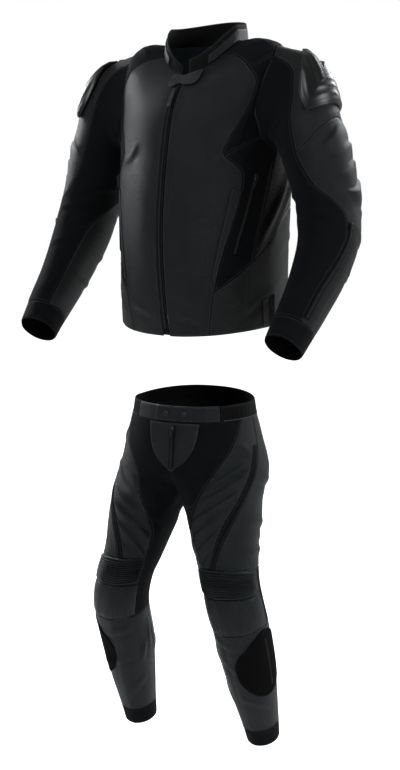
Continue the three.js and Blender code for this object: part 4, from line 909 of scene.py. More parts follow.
SLEEVE_FOLDS = {
    1: [
        dict(start=(0.6, 0.8), end=(2.0, 3.4), bow=0.2, width=7, height=2.0),
        dict(start=(0.4, 9.4), end=(7.8, 11.2), bow=0.5, width=8, height=3.6),
        dict(start=(1.0, 10.6), end=(7.4, 12.4), bow=0.5, width=7, height=3.0),
        dict(start=(2.6, 9.2), end=(8.4, 10.0), bow=0.4, width=7, height=3.2),
        dict(start=(9.8, 1.6), end=(16.8, 2.4), bow=0.3, width=8, height=2.6),
        dict(start=(10.6, 3.6), end=(17.2, 3.2), bow=0.3, width=8, height=2.4),
        dict(start=(11.2, 6.4), end=(17.0, 7.8), bow=0.3, width=8, height=3.0),
        dict(start=(10.8, 8.6), end=(16.8, 9.4), bow=0.3, width=8, height=2.6),
    ],
    -1: [
        dict(start=(0.8, 1.2), end=(2.4, 3.6), bow=0.2, width=7, height=2.0),
        dict(start=(0.8, 9.6), end=(6.8, 10.8), bow=0.4, width=8, height=3.4),
        dict(start=(1.6, 11.4), end=(8.0, 11.8), bow=0.4, width=7, height=3.0),
        dict(start=(10.0, 2.0), end=(16.4, 1.8), bow=0.4, width=8, height=2.6),
        dict(start=(10.4, 5.8), end=(17.4, 7.0), bow=0.3, width=8, height=3.2),
        dict(start=(11.6, 8.0), end=(16.2, 9.0), bow=0.3, width=8, height=2.6),
        dict(start=(10.4, 10.6), end=(15.8, 11.0), bow=0.3, width=7, height=2.4),
    ],
}
sleeve_points = padded_lattice(sleeve_lattice(), True)
sleeves = {
    side: Sheet(sleeve_points, ({0, 9, 18}, {0, 4, 13, 14}), wraps=True, outwards=-1, turn=JACKET_TURN,
                mirror=side,
                fit=seated_on_armhole(sleeve_points), folds=SLEEVE_FOLDS[side], seed=5 + side,
                fine={n: 14 for n in range(UPPER_END, PLEATS_END)})
    for side in (1, -1)
}
sleeve_lining = knit("sleeve_lining", (0.006, 0.006, 0.0065), 0.9, 0.0024, sheen=0.0, bump=0.001)
for side, tag in ((1, "_l"), (-1, "_r")):
    sleeve = sleeves[side]
    cloth("sleeve_upper" + tag, sleeve, [(0, SLEEVE_BACK, 0, UPPER_END)], [jacket_leather, sleeve_lining],
          "jacket_leather", relief=shoulder_pad)
    cloth("sleeve_lower" + tag, sleeve, [(0, SLEEVE_BACK, UPPER_END, CUFF_START)],
          [jacket_leather, sleeve_lining],
          "jacket_leather", relief=placket)
    cloth("sleeve_inner" + tag, sleeve, [(SLEEVE_BACK, 18, 0, CUFF_START)], [stretch_cloth, sleeve_lining],
          "stretch_cloth", roll=(0.8, 4))
    cloth("cuff" + tag, sleeve, [(0, 18, CUFF_START, CUFF_END)], [stretch_cloth, sleeve_lining],
          "stretch_cloth")

# Collar: a stand that follows the neck seam and leans in a little, open in front, with a leather patch on
# each side and a tab across the top of the zip.
collar_cloth = knit("collar_cloth", (0.006, 0.0061, 0.0065), 0.7, 0.0012, sheen=0.03)


def collar_place(angle, rise):
    """A point of the collar: from 1.5 mm under the neck's edge it rises to 41 to 47 mm over it, less at
    the sides, and leans in by 4 mm. Its front ends dip, by 11 mm on the wearer's left and by 29 mm on the
    right."""
    base = ring_point(BODY, angle, 1 + 0 * angle)
    out = unit(base * [1, 1, 0])
    cosine, sine = np.cos(angle * RAD), np.sin(angle * RAD)
    dip = np.where(angle < 180, 11, 29) * np.clip(1 - np.minimum(angle, 360 - angle) / 60, 0, 1) ** 1.5
    lift = 1.8 * rise - 1.5 + rise * (41 + 3 * (1 - cosine) - 6 * sine**2 - dip)
    return base - out * (4 * rise)[..., None] + lift[..., None] * [0, 0, 1], out


def patch_place(s, t):
    return collar_place(34 + 84 * s, 0.1 + (0.68 - 0.18 * (1 - s)) * t)


def tab_place(s, t):
    """The tab's places, 27 mm to one side of the zip and 50 mm to the other. It has a lobe on each side,
    the larger one with rounded corners, and it is drawn in by 30% at the zip."""
    x = -27 + 77 * s
    lobe = 1 - 0.3 * np.exp(-(((x - 2) / 9) ** 2))
    ends = np.sqrt(1 - 0.75 * np.abs(2 * s - 1) ** 8)
    level = 0.87 + 0.122 * (0.54 + (t - 0.54 + 0.1 * np.clip((x - 4) / 20, -1, 0)) * lobe * ends)
    angle = np.arcsin((np.abs(x) / read(BODY, "half", level)) ** (read(BODY, "square", level) / 2)) / RAD
    point = ring_point(BODY, np.sign(x) * angle, level)
    return point, unit(np.stack([point[..., 0] * 0.6, 0 * s - 90, 0 * s + 75], -1))


applied("collar", body, lambda s, t: collar_place(5 + 350 * s, t), 120, 12, -3, lambda s, t: 0.4 - 0.8 * t,
        [collar_cloth, collar_cloth], "collar_cloth", roll=(1.2, 4))
for side, tag in ((1, "_l"), (-1, "_r")):
    applied("collar_patch" + tag, body, patch_place, 40, 12, 1.1, 2.7, [jacket_leather, jacket_leather],
            "jacket_leather", mirror=side, roll=(0.9, 3), held="laid")
applied("collar_tab", body, tab_place, 48, 28, 2.2, 4.2, [jacket_leather, jacket_leather], "jacket_leather",
        roll=(0.9, 3), held="laid")

# Zips: a woven tape, teeth in two rows, a slider with two cheeks, and a pull that hangs from a bar between
# them. One closes the front, one each pocket and one each forearm.
zip_tape = knit("zip_tape", (0.005, 0.005, 0.0055), 0.7, 0.001, sheen=0.0)
zip_nylon = plain("zip_nylon", (0.004, 0.004, 0.0045), 0.45)
dark_metal = plain("dark_metal", (0.05, 0.05, 0.053), 0.35, metallic=0.9)
SLIDER = several((block_shape(12, 9, 1.5, taper=0.9), (0, 0, 0.6)),
                 (block_shape(11, 6.5, 1.6, taper=0.8), (0, 0, 2.0)),
                 (block_shape(6, 1.6, 3.6, taper=0.85), (0, 3.6, 3.2)),
                 (block_shape(6, 1.6, 3.6, taper=0.85), (0, -3.6, 3.2)))


def add_zip(name, sheet, place, low, rise, pitch=1.7, mirror=1):
    """A zip over a band of places: its tape from low to rise, and a row of teeth on the tape."""
    applied(name, sheet, place, 6, 60, low, rise, [zip_tape, zip_tape], "zip_nylon", mirror=mirror,
            roll=(0.4, 1.5),
            held="laid")
    t = np.linspace(0.02, 0.99, 300)
    point, normal = place(0.5 + 0 * t, t)
    point, along, out = spaced(point + normal * rise, normal, pitch)
    tooth = several((block_shape(0.9, 3.4, 1.1, taper=0.8), (-pitch / 4, 0.5, 0)),
                    (block_shape(0.9, 3.4, 1.1, taper=0.8), (pitch / 4, -0.5, 0)))
    world = lambda p: sheet.world(p * [mirror, 1, 1])
    joined(name + "_teeth", world, tooth, point, along, out, zip_nylon, "zip_nylon")


def add_slider(name, sheet, place, at, ahead, length, width, rise=0.0, mirror=1):
    """A slider on a zip at t = at, facing along to t = ahead, and its pull on its own body: a tapering
    plate with rounded corners on a round bar."""
    t = np.array([at, ahead])
    point, normal = place(0.5 + 0 * t, t)
    point = point + normal * rise
    down = unit(point[1:] - point[:1])
    out = unit(np.cross(np.cross(down, normal[:1]), down))
    world = lambda p: sheet.world(p * [mirror, 1, 1])
    joined(name + "_slider", world, SLIDER, point[:1], down, out, dark_metal, "zip_nylon")
    u, v = np.meshgrid(np.linspace(-1, 1, 9), np.linspace(0, 1, 25), indexing="ij")
    half = np.interp(v * length, [0, 4, 8, length - 2, length],
                     [2.2, 2.2, width / 2, width / 2 - 0.8, width / 2 - 2.2])
    thick = 0.8 - 0.35 * u**6
    sheet_points = lambda sign: np.stack([v * length, u * half, 5.2 + sign * thick], -1).reshape(-1, 3)
    index = np.arange(u.size).reshape(u.shape)
    quads = lambda g: np.stack([g[:-1, :-1], g[:-1, 1:], g[1:, 1:], g[1:, :-1]], -1).reshape(-1, 4)
    edge = np.concatenate([index[:, 0], index[-1, 1:], index[-2::-1, -1], index[0, -2:0:-1]])
    wall = np.stack([edge, np.roll(edge, -1), np.roll(edge, -1) + u.size, edge + u.size], -1)
    plate = (np.concatenate([sheet_points(1), sheet_points(-1)]),
             np.concatenate([quads(index)[:, ::-1], quads(index) + u.size, wall[:, ::-1]]))
    bar, turned = spindle(4.8, 1.2, sides=12, ends=0.9), np.array([[0, 1, 0], [1, 0, 0], [0, 0, 1]])
    shape = several((plate, (0, 0, 0)), ((bar[0] @ turned, bar[1][:, ::-1]), (0, 0, 5.2)))
    pull = joined(name.replace("zip", "pull") + "_plate", world, shape, point[:1], down, out, dark_metal,
                  "pull_metal", body_name=name.replace("zip", "pull"))
    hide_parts(name.replace("zip", "pull"))


def zip_place(s, t):
    """Places of the front zip: the body's centre line, with the tape level from side to side."""
    level = 0.004 + 0.958 * t
    point = ring_point(BODY, 0 * t, level)
    way = ring_point(BODY, 0 * t, level + 0.01) - ring_point(BODY, 0 * t, level - 0.01)
    return point + ((2 * s - 1) * 8.5)[..., None] * [1, 0, 0], unit(np.cross([1, 0, 0], way))


ring, tube = np.meshgrid(2 * math.pi * np.arange(16) / 16, 2 * math.pi * np.arange(6) / 6, indexing="ij")
LOOP = (np.stack([np.cos(ring) * (4.2 + np.cos(tube)), np.sin(ring) * (3.2 + np.cos(tube)), np.sin(tube)],
                 -1).reshape(-1, 3),
        np.array([(6 * n + k, 6 * ((n + 1) % 16) + k, 6 * ((n + 1) % 16) + (k + 1) % 6, 6 * n + (k + 1) % 6)
                  for n in range(16) for k in range(6)]))
POCKET_PATH = [(8.0, 8.6), (7.7, 7.8), (7.4, 7.0), (7.1, 6.15), (6.8, 5.3)]
FOREARM_PATH = [(0.3, 9.4 + n * 0.43) for n in range(9)]
add_zip("front_zip", body, zip_place, -1.6, 0.0)
add_slider("front_zip", body, zip_place, 0.872, 0.812, 46, 8)
for side, tag in ((1, "_l"), (-1, "_r")):
    pocket = band(body, [(c if side > 0 else TWIN - c, r) for c, r in POCKET_PATH], lambda t: 5 + 0 * t)
    add_zip("pocket_zip" + tag, body, pocket, 0.6, 1.6)
    add_slider("pocket_zip" + tag, body, pocket, 0.05, 0.2, 24, 6, rise=1.6)
    forearm = band(sleeves[side], FOREARM_PATH, lambda t: 6 + 0 * t)
    add_zip("forearm_zip" + tag, sleeves[side], forearm, 1.0, 2.2)
    top, up = forearm(np.full(2, 0.5), np.array([0.03, 0.1]))
    down = unit(top[1:] - top[:1])
    joined("forearm_slider" + tag, sleeves[side].world, several((SLIDER, (0, 0, 0)), (LOOP, (5, 0, 5.4))),
           top[:1] + 2.2 * up[:1], down, unit(up[:1] - down * (up[:1] * down).sum()), dark_metal,
           "zip_nylon")

# Pocket welts and hem straps: a leather strip beside each pocket, widest at its top, and an upright strap
# with a stretch gusset at each side of the hem.
STRAP_STEPS = 28
WELT_PATH = [(4.62, 8.3), (4.64, 7.3), (4.66, 6.3), (4.7, 5.3), (4.76, 4.5)]
for side, tag in ((1, "_l"), (-1, "_r")):
    across = lambda c: c if side > 0 else TWIN - c
    applied("pocket_welt" + tag, body,
            band(body, [(across(c), r) for c, r in WELT_PATH], lambda t: 12 - 7.5 * t),
            10, 60, 0.6, 2.2, [jacket_leather, jacket_leather], "jacket_leather", roll=(0.9, 3), held="laid")
    strap = applied("hem_strap" + tag, body,
                    lambda s, t: body.surface(across(10.52 + 0.58 * t), 0.12 + 1.33 * s), 30, STRAP_STEPS,
                    0.8,
                    lambda s, t: 2.6 - 1.2 * (np.abs(t - 0.62) < 0.24), [jacket_leather, stretch_cloth],
                    "jacket_leather", roll=(0.9, 3), held="laid")
    step = np.arange(len(strap.data.polygons)) % STRAP_STEPS
    gusset = (step > 0.37 * STRAP_STEPS) & (step < 0.82 * STRAP_STEPS)
    strap.data.polygons.foreach_set("material_index", gusset.astype(np.int32))

# Shoulder sliders: a hard cap on each shoulder, domed, with a raised rim, chevron ridges and two vents.
hard_plastic = plain("hard_plastic", (0.006, 0.0063, 0.007), 0.4)


def rounded(s, t):
    """A square of places drawn in to a disc, but little at its lower front corner, which stays a blunt
    tip."""
    x, y = 2 * s - 1, 2 * t - 1
    drawn = 0.5 - 0.13 * np.clip((1 - x) * (1 + y) / 4, 0, 1) ** 2
    return x * np.sqrt(1 - drawn * y * y), y * np.sqrt(1 - drawn * x * x)


def cap_height(s, t):
    """The cap's height: a 14 mm dome, less 5 mm in two three-cornered vents, and three ridges that point
    to its tip, 1.1 mm high. `ahead` grows towards the tip and `beside` to both sides of the line through
    it."""
    x, y = rounded(s, t)
    edge = np.maximum(np.abs(2 * s - 1), np.abs(2 * t - 1))
    ahead, beside = (y - x) / 2, np.abs(x + y) / 2
    arrow = ahead + 0.75 * beside
    ridges = sum(np.exp(-(((arrow - at) / 0.045) ** 2)) for at in (0.34, 0.5, 0.68)) * (ahead > -0.5)
    inside = np.minimum(np.minimum((0.2 - arrow) / 0.08, (beside - 0.1) / 0.06), (ahead + 0.42) / 0.08)
    vents = np.clip(inside, 0, 1) ** 2 * (3 - 2 * np.clip(inside, 0, 1))
    rim = np.exp(-(((edge - 0.9) / 0.05) ** 2))
    return 9 + 9 * (1 - edge**3) - 5 * vents + 1.1 * ridges + 0.8 * rim


for side, tag in ((1, "_l"), (-1, "_r")):
    def cap_place(s, t):
        x, y = rounded(s, t)
        return sleeves[side].at((3.7 + 2.9 * x) % 18, 2.2 + 1.35 * y)
    u, v = np.meshgrid(np.linspace(0, 1, 101), np.linspace(0, 1, 81), indexing="ij")
    point, normal = cap_place(u, v)
    index = np.arange(u.size).reshape(u.shape)
    faces = np.stack([index[:-1, :-1], index[1:, :-1], index[1:, 1:], index[:-1, 1:]], -1).reshape(-1, 4)
    edge = np.concatenate([index[:, 0], index[-1, 1:], index[-2::-1, -1], index[0, -2:0:-1]])
    wall = np.stack([np.roll(edge, -1), edge, edge + u.size, np.roll(edge, -1) + u.size], -1)
    solid = np.concatenate([(point + normal * cap_height(u, v)[..., None]).reshape(-1, 3),
                            (point + normal * 4).reshape(-1, 3)])
    all_faces = np.concatenate([faces, faces[:, ::-1] + u.size, wall])
    flat = np.tile(flat_places(point).reshape(-1, 2), (2, 1))[all_faces] * MM
    if side > 0:
        all_faces, flat = all_faces[:, ::-1], flat[:, ::-1]
    cap = put_mesh("shoulder_slider" + tag + "_cap", sleeves[side].world(solid), all_faces, [hard_plastic],
                   flat,
                   np.full(len(solid), 16.0))
    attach(cap, "suit")
    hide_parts("shoulder_slider" + tag)

# Stitches: a row on each side of the leather's seams.
thread = plain("black_thread", (0.02, 0.02, 0.022), 0.6)
BODY_SEAMS = [((FRONT, 0), (FRONT, NECK)), ((SIDE, WAIST_SEAM), (SIDE, ARMPIT)),
              ((FRONT, WAIST_SEAM), (CENTRE_BACK, WAIST_SEAM)),
              ((ARMHOLE_BACK, ARMPIT), (ARMHOLE_BACK, NECK)), ((0.35, 0.1), (0.35, NECK - 0.6))]
mirrored = [tuple((TWIN - c, r) for c, r in line) for line in BODY_SEAMS]
seam_stitches("body_stitches", body, BODY_SEAMS + mirrored, thread, "jacket_leather")
for side, tag in ((1, "_l"), (-1, "_r")):
    seam_stitches("sleeve_stitches" + tag, sleeves[side],
                  [((0.01, 0.3), (0.01, CUFF_START)), ((0.2, UPPER_END), (SLEEVE_BACK, UPPER_END)),
                   ((SLEEVE_BACK, 0.3), (SLEEVE_BACK, CUFF_START)), ((0, CUFF_START), (17.99, CUFF_START))],
                  thread, "jacket_leather")

# Legs: the trousers' panels, a thigh leather with pleats, a side strip, a seat, ribs above a padded knee,
# a lower leg and an ankle cuff, with stretch cloth inside. Rings go round both hips above the crotch and
# round each leg below it.
TROUSERS_TURN, TROUSERS_PLACE = 4.5, (-26, 0, -859)
HIPS = table(
    "level half front back z_front z_side z_back square",
    [0.0, 151, 104, 104, -8, 0, 16, 2.2],
    [0.34, 168, 113, 110, -70, -62, -50, 2.3],
    [0.7, 182, 117, 114, -132, -128, -120, 2.4],
)
HIP_ANGLES = table("level seam strip_front strip_back knee_side", [0, 68, 84, 90, 126],
                   [0.34, 51, 79, 86, 125],
                   [0.7, 28, 66, 75, 123])
LEG = table(
    "row x y z wide deep lean",
    [6, 95, -40, -190, 91, 98, 0.0],
    [7, 102, -49, -226, 87, 94, 0.0],
    [8, 109, -58, -264, 81, 87, 0.0],
    [10, 125, -76, -338, 70, 75, -0.05],
    [13, 141, -87, -394, 66, 68, 0.1],
    [15, 155, -77, -468, 64, 66, 0.3],
    [17, 158, -41, -560, 62, 63, 0.36],
    [19, 163, -9, -656, 53, 55, 0.34],
    [20, 166, 20, -738, 43, 45, 0.32],
    [21, 167, 34, -781, 39, 41, 0.3],
)
LEG_ANGLES = table(
    "row inner seam strip_front strip_back knee_side back",
    [6, 152, 104, 46, 33, -50, -152],
    [7, 154, 120, 62, 48, -42, -154],
    [8, 158, 136, 76, 63, -30, -158],
    [10, 166, 146, 100, 89, -6, -162],
    [13, 168, 148, 104, 88, -8, -164],
    [21, 168, 150, 108, 88, -8, -164],
)
SEAM_COLUMN, STRIP_FRONT, STRIP_BACK, KNEE_SIDE, BACK, LEG_COLUMNS = 3, 6, 7, 10, 15, 19
STRIP_TOP, CROTCH, RIBS_START, RIBS_END, CUP_END, ANKLE, LEG_END = 2, 6, 10, 13, 15, 20, 21


def leg_ring(column, row):
    """A ring of the leg: x = middle + wide cos, y = middle - deep sin, and z leans with the distance
    forwards."""
    keyed = np.stack([read(LEG_ANGLES, key, row) for key in list(LEG_ANGLES)[1:]])
    keyed = np.concatenate([keyed, keyed[:1] - 360])
    weights = step_weights([0, SEAM_COLUMN, STRIP_FRONT, STRIP_BACK, KNEE_SIDE, BACK, LEG_COLUMNS], column)
    angle = RAD * (weights @ keyed)
    fore = -read(LEG, "deep", row) * np.sin(angle)
    return np.stack([read(LEG, "x", row) + read(LEG, "wide", row) * np.cos(angle),
                     read(LEG, "y", row) + fore,
                     read(LEG, "z", row) + read(LEG, "lean", row) * fore], -1)


def hip_ring(column, row):
    """A ring round both hips, from the centre front at column 0 to the centre back at column 15."""
    level = row / 4 * 0.7
    keyed = np.stack([0 * level, *(read(HIP_ANGLES, key, level) for key in list(HIP_ANGLES)[1:]),
                      0 * level + 180])
    weights = step_weights([0, SEAM_COLUMN, STRIP_FRONT, STRIP_BACK, KNEE_SIDE, BACK], column)
    return ring_point(HIPS, weights @ keyed, level * np.ones((len(column), 1)))


def crotch_ring(column):
    """The leg's ring at the crotch, drawn in to the line between the legs that dips by 20 mm."""
    ring = leg_ring(column, np.array([CROTCH]))[:, 0]
    ring[:, 0] = np.maximum(ring[:, 0], 12)
    ring[:, 2] += 10 * np.maximum(0, np.cos(column / BACK * 2 * math.pi))
    t = np.where(column == 0, 1, (column - BACK) / (LEG_COLUMNS - BACK))
    between = np.stack([0 * t, 74 - 162 * t, -184 + 8 * t - 20 * np.sin(math.pi * t)], -1)
    return np.where(((column == 0) | (column >= BACK))[:, None], between, ring)


def leg_lattice():
    """The leg's lattice points, with one more line all round. Past the centre line above the crotch they
    are the other leg's, mirrored, so that the two halves join smoothly."""
    column, row = np.arange(LEG_COLUMNS + 1), np.arange(LEG_END + 1)
    above, below = np.array([0, 2, 4]), np.array([7, 8, 10, 13, 15, 17, 19, 20, 21])
    rings = np.concatenate([hip_ring(np.minimum(column, BACK), above), crotch_ring(column)[:, None],
                            leg_ring(column, below)], axis=1).transpose(1, 0, 2)
    keys = np.array([*above, CROTCH, *below])
    upper = curve(keys, rings, row).transpose(1, 0, 2)
    lower = curve(keys[3:], rings[3:], row).transpose(1, 0, 2)
    points = np.where((column > BACK)[:, None, None], lower, upper)
    points[-1] = points[0]
    points[[0, BACK, LEG_COLUMNS], :CROTCH + 1, 0] = 0
    wide = np.concatenate([points[-2:-1], points, points[1:2]])
    flip = np.array([-1, 1, 1])
    wide[0, :CROTCH] = wide[2, :CROTCH] * flip
    wide[17, :CROTCH] = wide[15, :CROTCH] * flip
    wide[18:20, :CROTCH] = wide[18:20, CROTCH + 1:CROTCH + 2] * flip
    return np.concatenate([2 * wide[:, :1] - wide[:, 1:2], wide, 2 * wide[:, -1:] - wide[:, -2:-1]], axis=1)


def thigh_pleats(column, row):
    """Four pleats that run down across the thigh: 6 mm high, each steep at its top and falling to the
    crease above the next one, fading at both ends."""
    phase = (row - 3.2 + (column - SEAM_COLUMN) * 0.9) * (4 / 5.4)
    side = np.clip((column - SEAM_COLUMN) / 0.5, 0, 1) * np.clip((STRIP_FRONT - column) / 0.5, 0, 1)
    ends = np.clip((row - 3) / 0.8, 0, 1) * np.clip((RIBS_START - row) / 1.2, 0, 1)
    part = phase - np.floor(phase)
    rise = np.clip(part / 0.16, 0, 1)
    wave = rise**2 * (3 - 2 * rise) * (1 - part) ** 0.8 * 1.2
    return 5.5 * side**2 * (3 - 2 * side) * ends * wave


def knee_ribs(column, row):
    """Twelve ribs across the knee, drawn together by a quarter towards both sides."""
    side = np.clip((column - SEAM_COLUMN) / 0.6, 0, 1) * np.clip((KNEE_SIDE - column) / 0.6, 0, 1)
    across = (2 * column - SEAM_COLUMN - KNEE_SIDE) / (KNEE_SIDE - SEAM_COLUMN)
    down = 0.5 + ((row - RIBS_START) / (RIBS_END - RIBS_START) - 0.5) / (1 - 0.25 * np.clip(across, -1,
                                                                                            1) ** 2)
    inside = (down > 0) & (down < 1)
    return 4 * side**2 * (3 - 2 * side) * inside * np.abs(np.sin(12 * math.pi * down)) ** 0.8


def knee_pad(column, row):
    """The padded knee, 7 mm high in the middle, with gathers along its lower edge."""
    side = np.sin(math.pi * np.clip((column - SEAM_COLUMN) / (KNEE_SIDE - SEAM_COLUMN), 0, 1))
    tall = np.sin(math.pi * np.clip((row - RIBS_END) / (CUP_END - RIBS_END), 0, 1))
    gather = np.sin(9 * column + 0.6 * np.sin(3.1 * column)) * np.clip((row - CUP_END + 0.7) / 0.5, 0, 1)
    return 7 * np.sqrt(np.maximum(side * tall, 0)) + 0.9 * gather * side


LEG_FOLDS = {
    1: [
        dict(start=(0.4, 4.6), end=(2.6, 3.4), bow=0.2, width=8, height=2.2),
        dict(start=(0.5, 6.6), end=(2.8, 6.0), bow=0.2, width=8, height=2.4),
        dict(start=(1.0, 9.4), end=(2.9, 8.4), bow=0.2, width=8, height=2.2),
        dict(start=(3.2, 1.6), end=(5.8, 2.6), bow=0.2, width=9, height=2.2),
        dict(start=(7.4, 4.0), end=(11.4, 6.6), bow=0.5, width=11, height=3.4),
        dict(start=(7.6, 6.8), end=(12.0, 8.6), bow=0.4, width=10, height=3.2),
        dict(start=(12.0, 9.2), end=(8.0, 8.8), bow=0.4, width=9, height=2.6),
        dict(start=(9.4, 2.0), end=(13.6, 3.4), bow=0.4, width=12, height=2.6),
        dict(start=(3.6, 15.3), end=(8.6, 15.9), bow=0.6, width=8, height=2.8),
        dict(start=(4.2, 16.2), end=(7.4, 17.2), bow=0.4, width=8, height=2.2),
        dict(start=(0.6, 15.8), end=(2.8, 17.0), bow=0.3, width=7, height=3.2),
        dict(start=(17.2, 16.0), end=(18.8, 18.4), bow=0.3, width=7, height=3.0),
        dict(start=(1.0, 18.0), end=(4.6, 19.2), bow=0.4, width=8, height=3.0),
        dict(start=(6.4, 18.6), end=(9.6, 19.4), bow=0.4, width=8, height=2.2),
        dict(start=(11.0, 16.2), end=(15.0, 17.6), bow=0.4, width=9, height=3.0),
    ],
    -1: [
        dict(start=(0.6, 5.2), end=(2.4, 4.0), bow=0.2, width=8, height=2.2),
        dict(start=(0.4, 7.6), end=(2.7, 7.0), bow=0.2, width=8, height=2.4),
        dict(start=(3.3, 1.2), end=(5.6, 2.2), bow=0.2, width=9, height=2.2),
        dict(start=(7.6, 3.4), end=(12.0, 5.8), bow=0.5, width=11, height=3.2),
        dict(start=(8.0, 7.6), end=(12.4, 8.4), bow=0.4, width=10, height=3.0),
        dict(start=(10.0, 1.6), end=(14.0, 2.8), bow=0.4, width=12, height=2.6),
        dict(start=(3.8, 15.6), end=(8.0, 16.0), bow=0.6, width=8, height=2.6),
        dict(start=(5.0, 17.2), end=(8.6, 18.0), bow=0.4, width=8, height=2.2),
        dict(start=(0.8, 16.6), end=(3.0, 17.8), bow=0.3, width=7, height=3.2),
        dict(start=(16.8, 15.8), end=(18.6, 17.4), bow=0.3, width=7, height=3.0),
        dict(start=(2.4, 18.8), end=(6.0, 19.4), bow=0.4, width=8, height=2.6),
        dict(start=(11.4, 17.0), end=(15.4, 17.8), bow=0.4, width=9, height=3.0),
    ],
}
trouser_leather = leather("trouser_leather", (0.0052, 0.0075, 0.0085), 0.38)
black_lining = knit("black_mesh_lining", (0.012, 0.012, 0.013), 0.9, 0.0024, sheen=0.0, bump=0.001)
legs = {
    side: Sheet(leg_lattice(), ({0, 3, 6, 7, 10, 15, 19}, {0, 2, 6, 10, 13, 15, 20, 21}), wraps=True,
                outwards=-1,
                turn=TROUSERS_TURN, place=TROUSERS_PLACE, mirror=side, folds=LEG_FOLDS[side], seed=11 + side,
                fine={**{n: 14 for n in range(3, RIBS_START)},
                      **{n: 28 for n in range(RIBS_START, RIBS_END)}})
    for side in (1, -1)
}
for side, tag in ((1, "_l"), (-1, "_r")):
    leg, lined = legs[side], [trouser_leather, black_lining]
    cloth("stretch_panel" + tag, leg,
          [(0, 3, 0, CUP_END), (BACK, LEG_COLUMNS, CROTCH, CUP_END), (KNEE_SIDE, BACK, RIBS_START, CUP_END)],
          [stretch_cloth, black_lining], "stretch_cloth")
    cloth("hip_panel" + tag, leg, [(3, STRIP_FRONT, 0, RIBS_START), (STRIP_FRONT, STRIP_BACK, 0, STRIP_TOP)],
          lined, "trouser_leather", relief=thigh_pleats)
    cloth("side_strip" + tag, leg, [(STRIP_FRONT, STRIP_BACK, STRIP_TOP, RIBS_START)],
          [stretch_cloth, black_lining], "stretch_cloth")
    cloth("seat_panel" + tag, leg, [(STRIP_BACK, BACK, 0, RIBS_START)], lined, "trouser_leather")
    cloth("knee_ribs" + tag, leg, [(3, KNEE_SIDE, RIBS_START, RIBS_END)], lined, "trouser_leather",
          relief=knee_ribs, roll=(0.8, 3))
    cloth("knee_cup" + tag, leg, [(3, KNEE_SIDE, RIBS_END, CUP_END)], lined, "trouser_leather",
          relief=knee_pad)
    cloth("lower_leg" + tag, leg, [(0, LEG_COLUMNS, CUP_END, ANKLE)], lined, "trouser_leather")
    cloth("ankle_cuff" + tag, leg, [(0, LEG_COLUMNS, ANKLE, LEG_END)], [stretch_cloth, black_lining],
          "stretch_cloth")

# Waistband: an elastic band round the sides and back, closed in front by a leather tab with two snaps.
elastic = knit("elastic_band", (0.005, 0.005, 0.0055), 0.75, 0.0028, sheen=0.02, bump=0.001)


def waist_place(angle, rise):
    """A point of the waistband: from 1.5 mm under the trousers' top edge it rises to 33 mm over it and
    leans in by 5 mm."""
    base = ring_point(HIPS, angle, 0 * angle)
    out = unit(base * [1, 1, 0])
    return base - out * (5 * rise)[..., None] + (34.8 * rise - 1.5)[..., None] * [0, 0, 1], out


def tab_height(s, t):
    """The tab's height: the overlap stands 1.4 mm higher, with a soft edge."""
    return 0.9 + 1.4 * np.clip((s - 0.29) / 0.02, 0, 1)


centre = legs[1]
applied("waistband", centre, lambda s, t: waist_place(43 + 274 * s, t), 140, 12, -2.4,
        lambda s, t: 0.4 + 0.35 * np.sin(260 * s) * np.sin(math.pi * t), [elastic, elastic], "elastic_band",
        roll=(1.0, 3))
applied("waist_tab", centre, lambda s, t: waist_place(-42.4 + 84.8 * s, t), 90, 12, -2.0, tab_height,
        [trouser_leather, black_lining], "trouser_leather", roll=(1.0, 3))
angle = np.concatenate([np.linspace(46, 118, 160), np.linspace(242, 314, 160)])
line, normal = waist_place(angle, 0 * angle + 0.05)
runs = [spaced(line[part] + 1.2 * normal[part], normal[part], 4.4) for part in (slice(0, 160),
                                                                                slice(160, 320))]
piping = plain("grey_thread", (0.12, 0.125, 0.13), 0.7)
joined("waist_piping", centre.world, spindle(3.6, 0.8), *(np.concatenate(k) for k in zip(*runs)), piping,
       "elastic_band")
ring = 2 * math.pi * np.arange(20) / 20
snap = (np.concatenate([np.c_[np.cos(ring) * r, np.sin(ring) * r, np.full(20, z)] for r, z in
                        ((6, -0.5), (6, 0.9), (5.2, 1.5), (4.6, 1.5), (4.2, 1.1), (0.1, 1.3))]),
        np.array([(20 * k + n, 20 * k + (n + 1) % 20, 20 * k + 20 + (n + 1) % 20, 20 * k + 20 + n)
                  for k in range(5) for n in range(20)]))
at = np.array([0.42, 0.6])
point, normal = waist_place(-42.4 + 84.8 * at, 0 * at + 0.5)
joined("waist_snaps", centre.world, snap, point + 2.3 * normal, unit(np.cross([0, 0, 1], normal)), normal,
       dark_metal,
       "pull_metal")

# Fly: a perforated leather shield over the centre front, with a short zip down its middle.
fly_leather = leather("fly_leather", (0.010, 0.0105, 0.0115), 0.46, pitch=0.0032)


def fly_place(s, t):
    """Places of the shield: a column to each side, narrowing to its foot."""
    side = 2 * s - 1
    column = side * np.sqrt(1 - 0.96 * t**3)
    point, normal = centre.surface(np.abs(column), 0.15 + 3.55 * t - 0.3 * side**2 * t)
    flip = np.where(column < 0, -1, 1)[..., None] * [1, 0, 0] + [0, 1, 1]
    return point * flip, normal * flip


def fly_zip_place(s, t):
    point, normal = fly_place(0.5 + 0 * s, 0.06 + 0.87 * t)
    return point * [0, 1, 1] + ((2 * s - 1) * 6)[..., None] * [1, 0, 0], normal * [0, 1, 1]


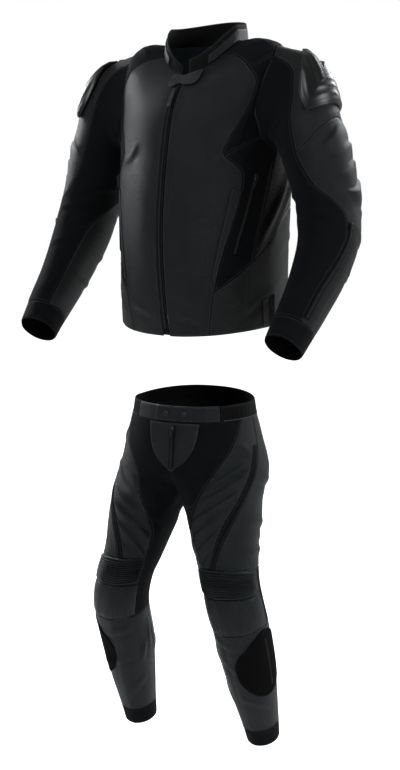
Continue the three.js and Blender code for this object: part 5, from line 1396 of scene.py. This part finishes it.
applied("fly", centre, fly_place, 36, 48, 1.0, 3.0, [fly_leather, fly_leather], "perforated_leather",
        roll=(1, 3.5),
        held="laid")
add_zip("fly_zip", centre, fly_zip_place, 3.8, 4.8)
add_slider("fly_zip", centre, fly_zip_place, 0.06, 0.3, 20, 6, rise=4.8)

# Calf patches: a tall oval of rough black cloth on the outside of each calf.
suede = knit("suede_patch", (0.003, 0.003, 0.0032), 0.95, 0.0009, sheen=0.0, bump=0.0012)


def oval_place(sheet):
    """Places of an oval, two columns to each side of column 9 and 1.8 rows up and down from row 16.9. In
    front it rises less, so that it narrows towards its top."""
    def place(s, t):
        column = 7 + 4 * s
        reach = np.sqrt(1.06 - ((column - 9) / 2) ** 2)
        cut = 1 - 0.45 * np.clip((9.4 - column) / 2.4, 0, 1) * (t < 0.5)
        return sheet.surface(column, 16.9 + 1.75 * reach * cut * (2 * t - 1))
    return place


for side, tag in ((1, "_l"), (-1, "_r")):
    applied("calf_patch" + tag, legs[side], oval_place(legs[side]), 36, 48, 0.9, 2.5, [suede, suede],
            "suede_patch",
            roll=(0.9, 3), held="laid")

# Stitches beside the trousers' seams.
for side, tag in ((1, "_l"), (-1, "_r")):
    seam_stitches("leg_stitches" + tag, legs[side],
                  [((SEAM_COLUMN, 0), (SEAM_COLUMN, CUP_END)),
                   ((STRIP_FRONT, STRIP_TOP), (STRIP_FRONT, RIBS_START)),
                   ((STRIP_BACK, 0), (STRIP_BACK, RIBS_START)),
                   ((SEAM_COLUMN, RIBS_START), (BACK, RIBS_START)),
                   ((SEAM_COLUMN, RIBS_END), (KNEE_SIDE, RIBS_END)), ((0, CUP_END), (18.99, CUP_END)),
                   ((KNEE_SIDE, RIBS_START), (KNEE_SIDE, CUP_END)), ((5.6, CUP_END), (5.6, ANKLE)),
                   ((0, ANKLE), (18.99, ANKLE))], thread, "trouser_leather")
    seam_stitches("patch_stitches" + tag, legs[side], [((9.4, 15.6), (9.4, 18.2))], piping, "suede_patch",
                  gap=1.6,
                  out=3.0, thick=0.3)
    seam_stitches("knee_stitches" + tag, legs[side], [((3.9, CUP_END), (6.4, CUP_END))], piping,
                  "trouser_leather",
                  gap=1.4, pitch=3.4, out=1.2, thick=0.5)
